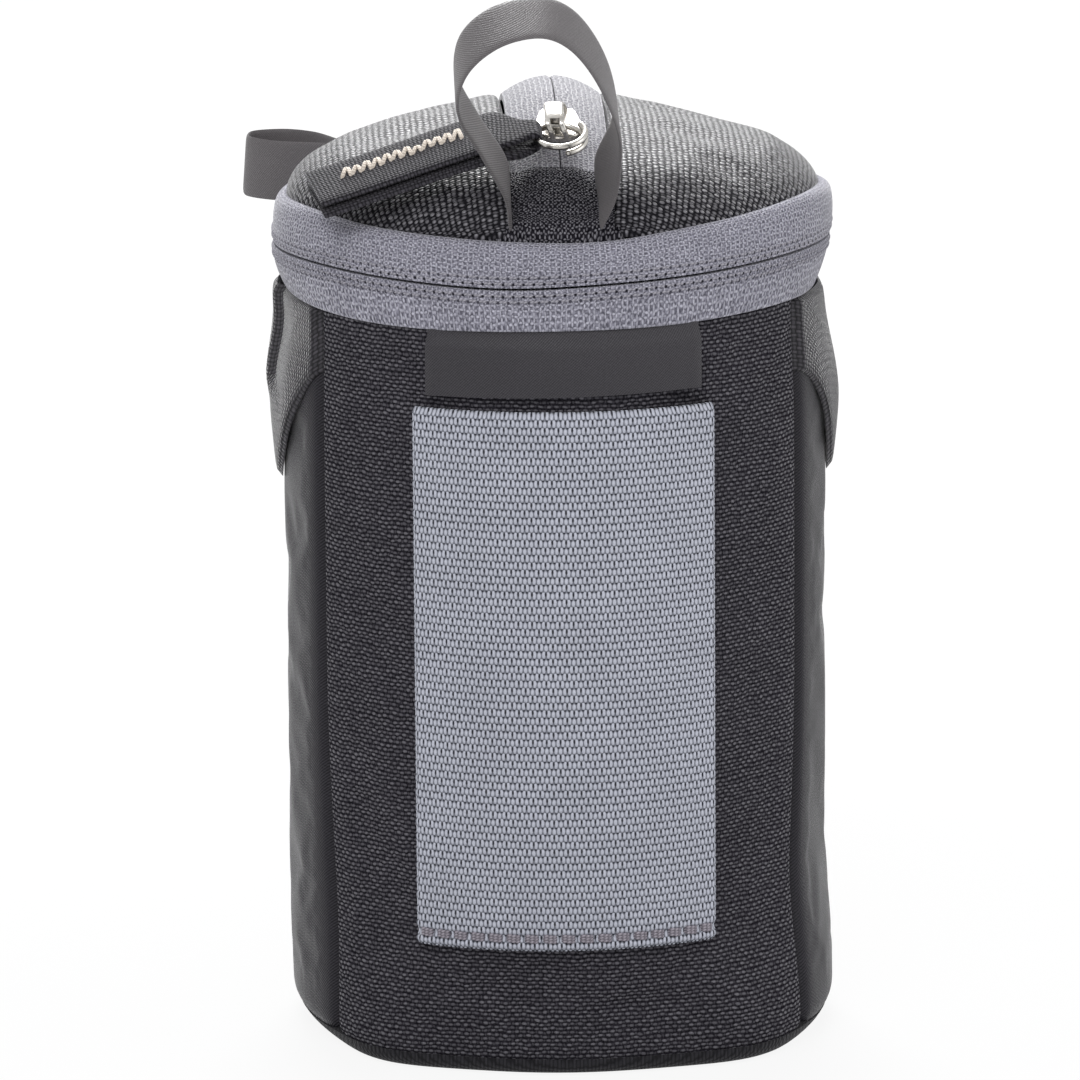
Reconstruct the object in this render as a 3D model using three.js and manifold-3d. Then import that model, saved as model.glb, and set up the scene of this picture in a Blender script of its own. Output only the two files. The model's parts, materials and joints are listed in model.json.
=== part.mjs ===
// Padded round lens pouch with a zipped domed lid.
// Millimetres, +Z up, origin at the centre of the base, the belt webbing faces -Y.
import * as THREE from "three";
import { mergeVertices } from "three/addons/utils/BufferGeometryUtils.js";
import Module from "manifold-3d";

const wasm = await Module();
wasm.setup();

// Body sizes
const bodyRadius = 43;
const zipHeight = 126;
const baseEdge = 6.5;
const fabricThickness = 1.2;
const foamThickness = 5;
const baseFoamThickness = 5;
const liningThickness = 0.7;
const bindingThickness = 0.8;
const clearance = 0.3;
const seamAngle = 60;

// Rim zip sizes
const bandWidth = 7;
const tapeThickness = 1.2;
const zipGap = 0.6;
const coilWidth = 3.2;
const coilThickness = 0.9;
const hingeHalfAngle = 27;
const bandRoll = 2.8;

// Lid sizes
const lidRise = 15.2;
const domeFullness = 2.6;
const domeShoulder = 0.8;

// Crown zip sizes
const crownHalfWidth = 7.7;
const crownArch = 2.8;
const crownBow = 3.1;
const crownEndRun = 7.1;
const crownFall = 8.15;
const crownTapeThickness = 1;
const crownTabAngle = 9;
const frontShift = 1.2;

// Slider and pull sizes
const sliderHalfWidth = 3.7;
const sliderTail = 8;
const sliderNose = 2.9;
const plateThickness = 1.2;
const rearPlateThickness = 1;
const neckThickness = 0.3;
const bailWidth = 3.2;
const bailThickness = 1;
const eyeOffset = 0.8;
const ringRadius = 3.9;
const ringWire = 1;
const eyeClearance = 0.44;
const foldClearance = 0.6;
const foldWall = 0.7;
const strapWidth = 12;
const strapThickness = 2.4;
const strapNeckHalf = 1.5;
const strapTaper = 3;
const rimStrapLength = 30;
const crownStrapReach = 37.5;
const crownStrapDrop = 8;
const crownSliderGap = 9;
const rimSliderAngle = -140;
const crownRingTilt = 1;
const rimSliderLift = 0.8;

// Ribbon, webbing and label sizes
const ribbonWidth = 10;
const ribbonThickness = 0.6;
const lidLoopLean = 30;
const lidLoopHeight = 37.8;
const lidLoopBase = 6.9;
const lidLoopInset = 2;
const lidLoopRise = 4.9;
const sideTabAngle = 133;
const sideTabLength = 18.5;
const sideTabHalf = 5;
const beltWidth = 50;
const beltBottom = 20.8;
const beltThickness = 1.6;
const beltBow = 0.9;
const beltFlatness = 0.5;
const labelWidth = 42.5;
const labelHeight = 10;
const labelThickness = 0.6;
const labelGap = 2.4;
const loopThickness = 1.2;
const loopSag = 13;
const loopBulge = 0.7;
const loopEndHeight = 11;
const loopMidHeight = 19;

// Sizes that follow from those above
const tapeInner = bodyRadius + clearance;
const tapeOuter = tapeInner + tapeThickness;
const coilOuter = tapeInner - clearance;
const coilInner = coilOuter - coilThickness;
const panelInner = bodyRadius - fabricThickness;
const foamOuter = panelInner - clearance;
const foamInner = foamOuter - foamThickness;
const liningOuter = foamInner - clearance;
const liningInner = liningOuter - liningThickness;
const tapeEdge = zipGap / 2;
const panelTop = zipHeight - tapeEdge - coilWidth - clearance;
const rimTop = zipHeight - sliderHalfWidth - 2 * clearance;
const foamTop = rimTop - bindingThickness - clearance;
const baseFoamTop = fabricThickness + clearance + baseFoamThickness;
const wallFloor = baseFoamTop + clearance;
const bandTop = zipHeight + bandWidth;
const bandBottom = zipHeight - bandWidth;
const domeRadius = tapeOuter - bandRoll - 2 * clearance;
const domeBase = bandTop - 2 * clearance;
const lidLiningTop = domeBase - fabricThickness - clearance;
const crownTop = domeBase + lidRise + crownBow;
const crownReach = domeRadius - crownEndRun;
const crownRadius = (crownReach * crownReach + crownFall * crownFall) / (2 * crownFall);
const crownCentre = crownTop - crownRadius;
const crownAngle = Math.asin(crownReach / crownRadius);
const crownSliderBack = crownReach - crownSliderGap;
const eyeHole = ringWire / 2 + eyeClearance;
const labelTop = bandBottom - clearance;
const beltTop = labelTop - labelHeight - labelGap;

const rad = THREE.MathUtils.degToRad;
const xy = (x, y) => new THREE.Vector2(x, y);

const group = new THREE.Group();
group.name = "lens_pouch";

// Materials
const matte = (color, roughness) => new THREE.MeshStandardMaterial({ color, roughness, metalness: 0 });
const blackCloth = matte(0x3a393f, 0.92);
const lidCloth = matte(0x46444c, 0.88);
const foam = matte(0x2c2c30, 0.95);
const lining = matte(0x84858c, 0.95);
const zipTape = matte(0x8c8b96, 0.9);
const zipCoil = matte(0x77767f, 0.55);
const greyWebbing = matte(0x8c8f9b, 0.9);
const blackWebbing = matte(0x39373d, 0.9);
const satin = matte(0x434145, 0.6);
const ribbon = matte(0x6a676a, 0.7);
const nickel = new THREE.MeshStandardMaterial({ color: 0xc8c8cc, roughness: 0.25, metalness: 1 });

// A mesh under one name in the part
function add(name, geometry, material) {
  const mesh = new THREE.Mesh(geometry, material);
  mesh.name = name;
  group.add(mesh);
}

// The same surface with shared corners, no empty faces, and faces that point out
function closed(source) {
  const bare = new THREE.BufferGeometry();
  bare.setAttribute("position", source.getAttribute("position"));
  if (source.index) {
    bare.setIndex(source.index);
  }
  const merged = mergeVertices(bare, 1e-4);
  const p = merged.getAttribute("position");
  const faces = [];
  let volume = 0;
  const a = new THREE.Vector3();
  const b = new THREE.Vector3();
  const c = new THREE.Vector3();
  for (let i = 0; i < merged.index.count; i += 3) {
    const [u, v, w] = [0, 1, 2].map((k) => merged.index.getX(i + k));
    if (u !== v && v !== w && u !== w) {
      faces.push([u, v, w]);
      a.fromBufferAttribute(p, u);
      b.fromBufferAttribute(p, v);
      c.fromBufferAttribute(p, w);
      volume += a.dot(b.cross(c));
    }
  }
  merged.setIndex(faces.flatMap(([u, v, w]) => (volume < 0 ? [u, w, v] : [u, v, w])));
  return merged;
}

// Boolean work on closed surfaces
function toSolid(geometry) {
  const g = closed(geometry);
  const vertProperties = new Float32Array(g.getAttribute("position").array);
  const triVerts = new Uint32Array(g.index.array);
  return new wasm.Manifold(new wasm.Mesh({ numProp: 3, vertProperties, triVerts }));
}

function fromSolid(solid) {
  const mesh = solid.getMesh();
  const g = new THREE.BufferGeometry();
  g.setAttribute("position", new THREE.BufferAttribute(new Float32Array(mesh.vertProperties), 3));
  g.setIndex(new THREE.BufferAttribute(new Uint32Array(mesh.triVerts), 1));
  return g;
}

// A skin over rows of points; open rows are capped by the flat outline
function skin(rows, outline) {
  const count = rows[0].length;
  const index = [];
  const steps = outline ? rows.length - 1 : rows.length;
  for (let i = 0; i < steps; i++) {
    const a = i * count;
    const b = ((i + 1) % rows.length) * count;
    for (let j = 0; j < count; j++) {
      const k = (j + 1) % count;
      index.push(a + j, b + j, b + k, a + j, b + k, a + k);
    }
  }
  if (outline) {
    const end = (rows.length - 1) * count;
    for (const [i, j, k] of THREE.ShapeUtils.triangulateShape(outline, [])) {
      index.push(i, j, k, end + k, end + j, end + i);
    }
  }
  const g = new THREE.BufferGeometry();
  const flat = rows.flat().flatMap((p) => [p.x, p.y, p.z]);
  g.setAttribute("position", new THREE.Float32BufferAttribute(flat, 3));
  g.setIndex(index);
  return closed(g);
}

const counterClockwise = (points) => (THREE.ShapeUtils.isClockWise(points) ? points.slice().reverse() : points);

// Point at a radius, an angle from the front towards the viewer's left, and a height
const around = (radius, angle, z) => new THREE.Vector3(-radius * Math.sin(angle), -radius * Math.cos(angle), z);

// Solid with a changing (radius, height) outline between two angles in degrees
function sector(outlineAt, from, to, stepDegrees = 6) {
  const steps = Math.max(2, Math.ceil(Math.abs(to - from) / stepDegrees));
  const rows = [];
  for (let i = 0; i <= steps; i++) {
    const degrees = from + ((to - from) * i) / steps;
    rows.push(counterClockwise(outlineAt(degrees)).map((p) => around(p.x, rad(degrees), p.y)));
  }
  return skin(rows, counterClockwise(outlineAt(from)));
}

// Full ring with one (radius, height) outline
function ring(outline, steps = 60) {
  const rows = [];
  for (let i = 0; i < steps; i++) {
    rows.push(counterClockwise(outline).map((p) => around(p.x, (2 * Math.PI * i) / steps, p.y)));
  }
  return skin(rows, null);
}

const rectangle = (x0, y0, x1, y1) => [xy(x0, y0), xy(x1, y0), xy(x1, y1), xy(x0, y1)];

// Turned solid whose (radius, height) profile starts and ends on the axis
const turned = (profile, steps = 60) => closed(new THREE.LatheGeometry(profile, steps).rotateX(Math.PI / 2));

// Solid of an outline in (x, distance from the crown's axis), swept front to back over the crown
function overCrown(outline, from, to, steps) {
  const section = counterClockwise(outline);
  const rows = [];
  for (let i = 0; i <= steps; i++) {
    const a = from + ((to - from) * i) / steps;
    rows.push(section.map((p) => new THREE.Vector3(p.x, -p.y * Math.sin(a), crownCentre + p.y * Math.cos(a))));
  }
  return skin(rows, section);
}

// Corner of the base: quarter circle points from the floor up
function edgePoints(radius, centreRadius, centreHeight) {
  const points = [];
  for (let i = 0; i <= 4; i++) {
    const a = (Math.PI / 2) * (i / 4);
    points.push(xy(centreRadius + radius * Math.sin(a), centreHeight - radius * Math.cos(a)));
  }
  return points;
}

// Base and wall
const edgeCentre = bodyRadius - baseEdge;
const baseOuter = edgePoints(baseEdge, edgeCentre, baseEdge);
const baseInner = edgePoints(baseEdge - fabricThickness, edgeCentre, baseEdge).reverse();
add("base_panel", turned([xy(0, 0), ...baseOuter, ...baseInner, xy(0, fabricThickness)]), blackCloth);

const foamEdge = edgePoints(baseEdge - fabricThickness - clearance, edgeCentre, baseEdge);
const baseFoamProfile = [xy(0, fabricThickness + clearance), ...foamEdge, xy(foamOuter, baseFoamTop), xy(0, baseFoamTop)];
add("base_foam", turned(baseFoamProfile), foam);

const panelOutline = rectangle(panelInner, baseEdge + clearance, bodyRadius, panelTop);
const seamGap = THREE.MathUtils.radToDeg(clearance / 2 / panelInner);
function wallPanel(name, from, to) {
  add(name, sector(() => panelOutline, from + seamGap, to - seamGap), blackCloth);
}
wallPanel("front_panel", -seamAngle, seamAngle);
wallPanel("left_side_panel", seamAngle, 180 - seamAngle);
wallPanel("back_panel", 180 - seamAngle, 180 + seamAngle);
wallPanel("right_side_panel", seamAngle - 180, -seamAngle);

add("wall_foam", ring(rectangle(foamInner, wallFloor, foamOuter, foamTop)), foam);
add("wall_lining", ring(rectangle(liningInner, wallFloor, liningOuter, foamTop)), lining);
const liningFloor = new THREE.CylinderGeometry(liningInner - clearance, liningInner - clearance, liningThickness, 60);
add("base_lining", liningFloor.rotateX(Math.PI / 2).translate(0, 0, wallFloor + liningThickness / 2), lining);
add("rim_binding", ring(rectangle(liningInner, rimTop - bindingThickness, foamOuter, rimTop)), blackCloth);

// Rim zip
const zipEnd = 180 - hingeHalfAngle - 1;
const lowerTapeOutline = rectangle(tapeInner, bandBottom, tapeOuter, zipHeight - tapeEdge);
add("lower_zip_tape", sector(() => lowerTapeOutline, -zipEnd, zipEnd), zipTape);
const lowerCoilOutline = rectangle(coilInner, zipHeight - tapeEdge - coilWidth, coilOuter, zipHeight - tapeEdge);
add("lower_zip_coil", sector(() => lowerCoilOutline, -zipEnd, zipEnd), zipCoil);

const rollDepth = bandRoll - tapeThickness;
const upperTapeOutline = [
  xy(tapeInner, zipHeight + tapeEdge),
  xy(tapeOuter, zipHeight + tapeEdge),
  xy(tapeOuter, bandTop - bandRoll),
  xy(tapeOuter - 0.2 * bandRoll, bandTop - 0.35 * bandRoll),
  xy(tapeOuter - 0.6 * bandRoll, bandTop),
  xy(tapeOuter - bandRoll, bandTop + 0.15 * bandRoll),
  xy(tapeOuter - bandRoll, bandTop + 0.15 * bandRoll - rollDepth),
  xy(tapeInner, bandTop - bandRoll),
];
add("upper_zip_tape", sector(() => upperTapeOutline, -zipEnd, zipEnd), zipTape);
const upperCoilOutline = rectangle(coilInner, zipHeight + tapeEdge, coilOuter, zipHeight + tapeEdge + coilWidth);
add("upper_zip_coil", sector(() => upperCoilOutline, -zipEnd, zipEnd), zipCoil);

const hingeOutline = [xy(tapeInner, bandBottom), xy(tapeOuter, bandBottom), ...upperTapeOutline.slice(2)];
add("hinge_panel", sector(() => hingeOutline, 180 - hingeHalfAngle, 180 + hingeHalfAngle), blackCloth);

// Domed lid
const domeShare = (share) => Math.pow(Math.max(0, 1 - Math.pow(share, domeFullness)), domeShoulder);
function domePoints(radius, rise, base) {
  const points = [];
  for (let i = 0; i <= 12; i++) {
    const share = Math.sin((Math.PI / 2) * (i / 12));
    points.push(xy(radius * share, base + rise * domeShare(share)));
  }
  return points;
}
const shellOuter = domePoints(domeRadius, lidRise, domeBase);
const shellInner = domePoints(domeRadius - fabricThickness, lidRise - fabricThickness, domeBase).reverse();
const shell = toSolid(turned([...shellOuter, ...shellInner], 48));
const slot = crownHalfWidth + clearance;
function cutter(x0, x1) {
  const size = 4 * bodyRadius;
  return toSolid(new THREE.BoxGeometry(x1 - x0, size, size).translate((x0 + x1) / 2, 0, domeBase));
}
add("lid_left_panel", fromSolid(shell.subtract(cutter(-slot, 2 * bodyRadius))), lidCloth);
add("lid_right_panel", fromSolid(shell.subtract(cutter(-2 * bodyRadius, slot))), lidCloth);

const rearPlateTop = crownTapeThickness + coilThickness + 5 * clearance;
const groove = overCrown(
  rectangle(
    -sliderHalfWidth - 2 * clearance,
    crownRadius - rearPlateTop - rearPlateThickness - 2 * clearance,
    sliderHalfWidth + 2 * clearance,
    crownRadius + 2 * crownBow,
  ),
  -1.15 * crownAngle,
  1.15 * crownAngle,
  16,
);
const padInset = fabricThickness + clearance;
const padTop = domePoints(domeRadius - padInset, lidRise - padInset, domeBase);
const padBottom = lidLiningTop + clearance;
const pad = turned([...padTop, xy(domeRadius - padInset, padBottom), xy(0, padBottom)], 48);
add("lid_foam", fromSolid(toSolid(pad).subtract(toSolid(groove))), foam);
const lidLining = new THREE.CylinderGeometry(domeRadius - clearance, domeRadius - clearance, liningThickness, 60);
add("lid_lining", lidLining.rotateX(Math.PI / 2).translate(0, 0, lidLiningTop - liningThickness / 2), lining);

// Crown zip: two tapes bowed up to a line down the middle, with a coil under each
const crownDrop = (x) => crownArch * Math.pow(x / crownHalfWidth, 2);
function archStrip(side, x0, x1, top, thickness) {
  const upper = [];
  const lower = [];
  for (let i = 0; i <= 4; i++) {
    const x = x0 + ((x1 - x0) * i) / 4;
    upper.push(xy(side * x, crownRadius - top - crownDrop(x)));
    lower.unshift(xy(side * x, crownRadius - top - thickness - crownDrop(x)));
  }
  return overCrown([...upper, ...lower], -crownAngle, crownAngle, 16);
}
const coilTop = crownTapeThickness + clearance;
for (const [side, word] of [[-1, "left"], [1, "right"]]) {
  add("crown_tape_" + word, archStrip(side, tapeEdge, crownHalfWidth, 0, crownTapeThickness), zipTape);
  add("crown_coil_" + word, archStrip(side, tapeEdge, coilWidth, coilTop, coilThickness), zipCoil);
}

// End covers of the crown zip, front and back; the front one sits a little to the left with its loop
const tabStart = crownReach + 2 * clearance;
const tabHeight = crownCentre + crownRadius * Math.cos(crownAngle);
const tabEnd = xy(domeRadius, bandTop + 0.15 * bandRoll + 2 * clearance);
const tabRun = tabEnd.x - tabStart;
const tabFall = tabHeight - tabEnd.y;
const tabOutline = [
  xy(tabStart, tabHeight),
  xy(tabStart + 0.38 * tabRun, tabHeight - 0.2 * tabFall),
  xy(tabStart + 0.75 * tabRun, tabHeight - 0.58 * tabFall),
  tabEnd,
  xy(tabEnd.x - fabricThickness, tabEnd.y),
  xy(tabStart + 0.6 * tabRun, tabHeight - 0.62 * tabFall),
  xy(tabStart + 0.25 * tabRun, tabHeight - 0.28 * tabFall),
  xy(tabStart, tabHeight - fabricThickness),
];
const tabShift = THREE.MathUtils.radToDeg(frontShift / domeRadius);
add("crown_front_tab", sector(() => tabOutline, tabShift - crownTabAngle, tabShift + crownTabAngle, 5), blackCloth);
add("crown_rear_tab", sector(() => tabOutline, 180 - crownTabAngle, 180 + crownTabAngle, 5), blackCloth);

// Thin band of even thickness along a smooth open path, as a flat shape
function bandShape(points, thickness, samples) {
  const curve = new THREE.SplineCurve(points);
  const left = [];
  const right = [];
  for (let i = 0; i <= samples; i++) {
    const p = curve.getPointAt(i / samples);
    const t = curve.getTangentAt(i / samples);
    const n = xy(-t.y, t.x).multiplyScalar(thickness / 2);
    left.push(p.clone().add(n));
    right.unshift(p.clone().sub(n));
  }
  return new THREE.Shape([...left, ...right]);
}

const flatPrism = (shape, depth) => new THREE.ExtrudeGeometry(shape, { depth, bevelEnabled: false, curveSegments: 6 });

// Ribbon loop at the front end of the crown zip
const loopPath = [
  [-1, 0],
  [-1.12, 0.17],
  [-1.68, 0.39],
  [-2.19, 0.61],
  [-2.06, 0.81],
  [-1.38, 0.95],
  [-0.46, 1],
  [0.32, 0.955],
  [0.9, 0.81],
  [1.33, 0.61],
  [1.48, 0.4],
  [1.22, 0.17],
  [1, 0],
].map(([x, s]) => xy(x * lidLoopBase, s * lidLoopHeight));
const loopAnchor = new THREE.Vector3(-frontShift, lidLoopInset - domeRadius, domeBase + lidLoopRise);
const lidLoop = flatPrism(bandShape(loopPath, ribbonThickness, 44), ribbonWidth);
lidLoop.translate(0, 0, -ribbonWidth / 2).rotateX(Math.PI / 2 + rad(lidLoopLean));
add("lid_grab_loop", lidLoop.translate(loopAnchor.x, loopAnchor.y, loopAnchor.z), ribbon);

// Ribbon loop at the left of the lid's rim, standing out from the zip band
const sidePath = [
  [0, -0.16],
  [0.2, -0.5],
  [0.55, -1],
  [0.85, -0.85],
  [1, 0],
  [0.85, 0.85],
  [0.55, 1],
  [0.2, 0.5],
  [0, 0.16],
].map(([a, b]) => xy(a * sideTabLength, b * sideTabHalf));
const sideStart = tapeOuter + clearance + ribbonThickness;
const sideTab = flatPrism(bandShape(sidePath, ribbonThickness, 30), ribbonWidth);
sideTab.translate(sideStart, 0, zipHeight + tapeEdge + clearance).rotateZ(-Math.PI / 2 - rad(sideTabAngle));
add("side_grab_loop", sideTab, ribbon);

// Zip slider in its own frame: x along the zip to the ring, y across it, z out of the tape
function sliderBody(lift, rearTop) {
  const top = lift + plateThickness;
  const half = sliderHalfWidth;
  const nose = bailWidth / 2;
  const plan = new THREE.Shape([
    xy(-sliderTail, -0.7 * half),
    xy(-0.82 * sliderTail, -half),
    xy(0.4 * sliderNose, -half),
    xy(0.55 * sliderNose, -nose),
    xy(sliderNose, -nose),
    xy(sliderNose, nose),
    xy(0.55 * sliderNose, nose),
    xy(0.4 * sliderNose, half),
    xy(-0.82 * sliderTail, half),
    xy(-sliderTail, 0.7 * half),
  ]);
  const front = toSolid(flatPrism(plan, plateThickness).translate(0, 0, lift));
  const eye = top + eyeHole;
  const bailTop = eye + eyeHole + bailThickness;
  const bailPlan = new THREE.Shape([
    xy(-0.66 * sliderTail, top - 0.2),
    xy(sliderNose, top - 0.2),
    xy(sliderNose, eye + 0.4 * eyeHole),
    xy(sliderNose - 0.8 * bailThickness, bailTop),
    xy(-0.4 * sliderTail, bailTop),
    xy(-0.6 * sliderTail, eye),
  ]);
  const bailHole = new THREE.Path();
  bailHole.setFromPoints([
    xy(-0.44 * sliderTail, top),
    xy(-0.34 * sliderTail, bailTop - bailThickness),
    xy(eyeOffset + eyeHole, bailTop - bailThickness),
    xy(eyeOffset + eyeHole, top),
  ]);
  bailPlan.holes.push(bailHole);
  const bail = toSolid(flatPrism(bailPlan, bailWidth).translate(0, 0, -bailWidth / 2).rotateX(Math.PI / 2));
  const rearLength = 0.66 * sliderTail + 0.4 * sliderNose;
  const rearMiddle = 0.2 * sliderNose - 0.33 * sliderTail;
  const rearShape = new THREE.BoxGeometry(rearLength, 1.84 * half, rearPlateThickness);
  const rear = toSolid(rearShape.translate(rearMiddle, 0, -rearTop - rearPlateThickness / 2));
  const neckShape = new THREE.BoxGeometry(0.35 * sliderTail, neckThickness, lift + rearTop + 0.6);
  const neck = toSolid(neckShape.translate(-0.25 * sliderTail, 0, (lift - rearTop) / 2));
  return { body: fromSolid(front.add(bail).add(rear).add(neck)), eye };
}

// Wire ring through the slider's eye, turned down by the tilt about the eye
function pullRing(eye, tilt) {
  const torus = new THREE.TorusGeometry(ringRadius, ringWire / 2, 8, 28);
  return torus.translate(ringRadius, 0, 0).rotateY(rad(tilt)).translate(eyeOffset, 0, eye);
}

// Folded webbing pull: a round fold on the ring, then a strap along a path of (distance, height)
function pullStrap(side, eye, tilt, path) {
  const along = eyeOffset + ringRadius * Math.cos(rad(tilt));
  const wire = xy(ringRadius, eye - ringRadius * Math.sin(rad(tilt)));
  const holeRadius = ringWire / 2 + foldClearance;
  const foldRadius = holeRadius + foldWall;
  const outline = [];
  for (let i = 0; i <= 8; i++) {
    const a = Math.PI / 2 + (Math.PI * i) / 8;
    outline.push(xy(wire.x + foldRadius * Math.cos(a), wire.y + foldRadius * Math.sin(a)));
  }
  const curve = new THREE.SplineCurve([wire, ...path.map(([d, w]) => xy(d, w))]);
  const upper = [];
  for (let i = 2; i <= 12; i++) {
    const p = curve.getPointAt(i / 12);
    const t = curve.getTangentAt(i / 12);
    const n = xy(-t.y, t.x).multiplyScalar(strapThickness / 2);
    outline.push(p.clone().sub(n));
    upper.unshift(p.clone().add(n));
  }
  const profile = new THREE.Shape([...outline, ...upper]);
  const wireHole = new THREE.Path();
  wireHole.absarc(wire.x, wire.y, holeRadius, 0, 2 * Math.PI, true);
  profile.holes.push(wireHole);
  const prism = flatPrism(profile, strapWidth).translate(0, 0, -strapWidth / 2);
  const reach = path[path.length - 1][0] + strapWidth;
  const half = strapWidth / 2;
  const shoulder = wire.x + foldRadius;
  const plan = new THREE.Shape([
    xy(0, -strapNeckHalf),
    xy(shoulder, -strapNeckHalf),
    xy(shoulder + strapTaper, -half),
    xy(reach, -half),
    xy(reach, half),
    xy(shoulder + strapTaper, half),
    xy(shoulder, strapNeckHalf),
    xy(0, strapNeckHalf),
  ]);
  const height = 3 * reach;
  const planPrism = flatPrism(plan, height).translate(0, 0, -height / 2).rotateX(Math.PI / 2);
  const strap = fromSolid(toSolid(prism).intersect(toSolid(planPrism)));
  const frame = new THREE.Matrix4().makeBasis(
    new THREE.Vector3(0, side, 0),
    new THREE.Vector3(0, 0, 1),
    new THREE.Vector3(side, 0, 0),
  );
  return strap.applyMatrix4(frame).translate(along, 0, 0);
}

// Slider, ring and pull placed by the directions along the zip and out of the tape
function pullSet(name, origin, alongZip, outward, lift, rearTop, tilt, side, path) {
  const across = new THREE.Vector3().crossVectors(outward, alongZip);
  const place = new THREE.Matrix4().makeBasis(alongZip, across, outward).setPosition(origin);
  const { body, eye } = sliderBody(lift, rearTop);
  add(name + "_slider_body", body.applyMatrix4(place), nickel);
  add(name + "_pull_ring", pullRing(eye, tilt).applyMatrix4(place), nickel);
  add(name + "_pull_strap", closed(pullStrap(side, eye, tilt, path).applyMatrix4(place)), blackWebbing);
}

const crownTurn = Math.asin(crownSliderBack / crownRadius);
const crownOut = new THREE.Vector3(0, -Math.sin(crownTurn), Math.cos(crownTurn));
const crownAlong = new THREE.Vector3(0, -Math.cos(crownTurn), -Math.sin(crownTurn));
const crownOrigin = new THREE.Vector3(0, 0, crownCentre).addScaledVector(crownOut, crownRadius);
const drapedPath = [
  [0.27, -0.125],
  [0.45, 0.15],
  [0.64, 0.475],
  [0.83, 0.775],
  [1, 1],
].map(([reach, drop]) => [reach * crownStrapReach, -drop * crownStrapDrop]);
pullSet("crown", crownOrigin, crownAlong, crownOut, clearance, rearPlateTop, crownRingTilt, -1, drapedPath);

const rimTurn = rad(rimSliderAngle);
const rimOut = around(1, rimTurn, 0);
const rimAlong = around(1, rimTurn + Math.PI / 2, 0);
const rimOrigin = around(tapeOuter, rimTurn, zipHeight);
const rimRearTop = tapeThickness + coilThickness + 4 * clearance;
const rimEye = rimSliderLift + plateThickness + eyeHole;
const hangingPath = [
  [ringRadius + 0.4 * rimStrapLength, rimEye],
  [ringRadius + rimStrapLength, rimEye],
];
pullSet("rim", rimOrigin, rimAlong, rimOut, rimSliderLift, rimRearTop, 0, 1, hangingPath);

// Belt webbing: sewn round the foot, bowed off the wall, stiff enough to lie flatter towards the top
const beltAngle = THREE.MathUtils.radToDeg(beltWidth / 2 / (bodyRadius + beltThickness));
const beltInner = bodyRadius + clearance;
const beltRise = beltTop - beltBottom;
const beltShares = [
  [0, 0],
  [0.05, 0],
  [0.14, 0.5],
  [0.32, 0.95],
  [0.5, 1],
  [0.75, 0.9],
  [0.93, 0.5],
  [1, 0.1],
];
function beltOutlineAt(degrees) {
  const edge = Math.pow(degrees / beltAngle, 2) * beltFlatness;
  const face = (extra) =>
    beltShares.map(([s, bow]) => {
      const off = extra + bow * beltBow + edge * s;
      return xy(beltInner + off, beltBottom + s * beltRise);
    });
  return [...face(0), ...face(beltThickness).reverse()];
}
add("belt_webbing", sector(beltOutlineAt, -beltAngle, beltAngle), greyWebbing);

// Bare label under the zip band
const labelAngle = THREE.MathUtils.radToDeg(labelWidth / 2 / bodyRadius);
const labelOutline = rectangle(beltInner, labelTop - labelHeight, beltInner + labelThickness, labelTop);
add("name_label", sector(() => labelOutline, -labelAngle, labelAngle), satin);

// Webbing loops on the two sides, hanging between the seams
function sideLoop(name, sign) {
  const start = seamAngle + 1;
  const end = 180 - seamAngle - 1;
  const outlineAt = (degrees) => {
    const share = Math.sin((Math.PI * (Math.abs(degrees) - start)) / (end - start));
    const height = loopEndHeight + (loopMidHeight - loopEndHeight) * share;
    const middle = bandBottom - clearance - loopEndHeight / 2 - loopSag * share;
    const inner = beltInner + loopBulge * share;
    return rectangle(inner, middle - height / 2, inner + loopThickness, middle + height / 2);
  };
  add(name, sector(outlineAt, sign * start, sign * end, 5), blackWebbing);
}
sideLoop("side_loop_left", 1);
sideLoop("side_loop_right", -1);

export default group;
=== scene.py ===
import json
import math

import bmesh
import bpy
import numpy as np
from mathutils import Matrix, Vector


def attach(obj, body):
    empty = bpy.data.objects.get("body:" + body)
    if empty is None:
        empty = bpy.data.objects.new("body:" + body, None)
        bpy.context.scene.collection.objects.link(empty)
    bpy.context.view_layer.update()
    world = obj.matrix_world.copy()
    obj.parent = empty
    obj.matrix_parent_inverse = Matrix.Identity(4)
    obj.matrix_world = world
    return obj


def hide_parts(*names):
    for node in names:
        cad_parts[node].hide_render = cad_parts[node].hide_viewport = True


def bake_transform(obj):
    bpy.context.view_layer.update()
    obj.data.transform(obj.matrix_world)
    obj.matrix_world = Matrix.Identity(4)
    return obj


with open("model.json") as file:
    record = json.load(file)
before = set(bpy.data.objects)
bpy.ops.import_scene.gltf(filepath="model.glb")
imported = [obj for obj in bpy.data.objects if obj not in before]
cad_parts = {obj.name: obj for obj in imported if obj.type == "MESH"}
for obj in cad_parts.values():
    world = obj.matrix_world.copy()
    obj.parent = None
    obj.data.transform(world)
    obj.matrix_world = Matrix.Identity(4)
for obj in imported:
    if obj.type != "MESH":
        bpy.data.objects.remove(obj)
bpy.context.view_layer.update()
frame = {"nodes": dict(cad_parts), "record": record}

# Lengths are in millimetres and angles in degrees; meshes are scaled to metres when they are made.
MM = 0.001


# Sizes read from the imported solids
def mesh_points(mesh):
    places = np.empty(len(mesh.vertices) * 3)
    mesh.vertices.foreach_get("co", places)
    return places.reshape(-1, 3)


def corners(node):
    return mesh_points(frame["nodes"][node].data) / MM


def radii(node):
    reach = np.hypot(*corners(node)[:, :2].T)
    return reach.min(), reach.max()


def heights(node):
    level = corners(node)[:, 2]
    return level.min(), level.max()


def joint(name):
    return next(row for row in frame["record"]["behaviour"]["joints"] if row["name"] == name)


def joint_place(name):
    return np.array(joint(name)["pos_m"]) / MM


def joint_axis(name):
    return np.array(joint(name)["axis"], float)


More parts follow.
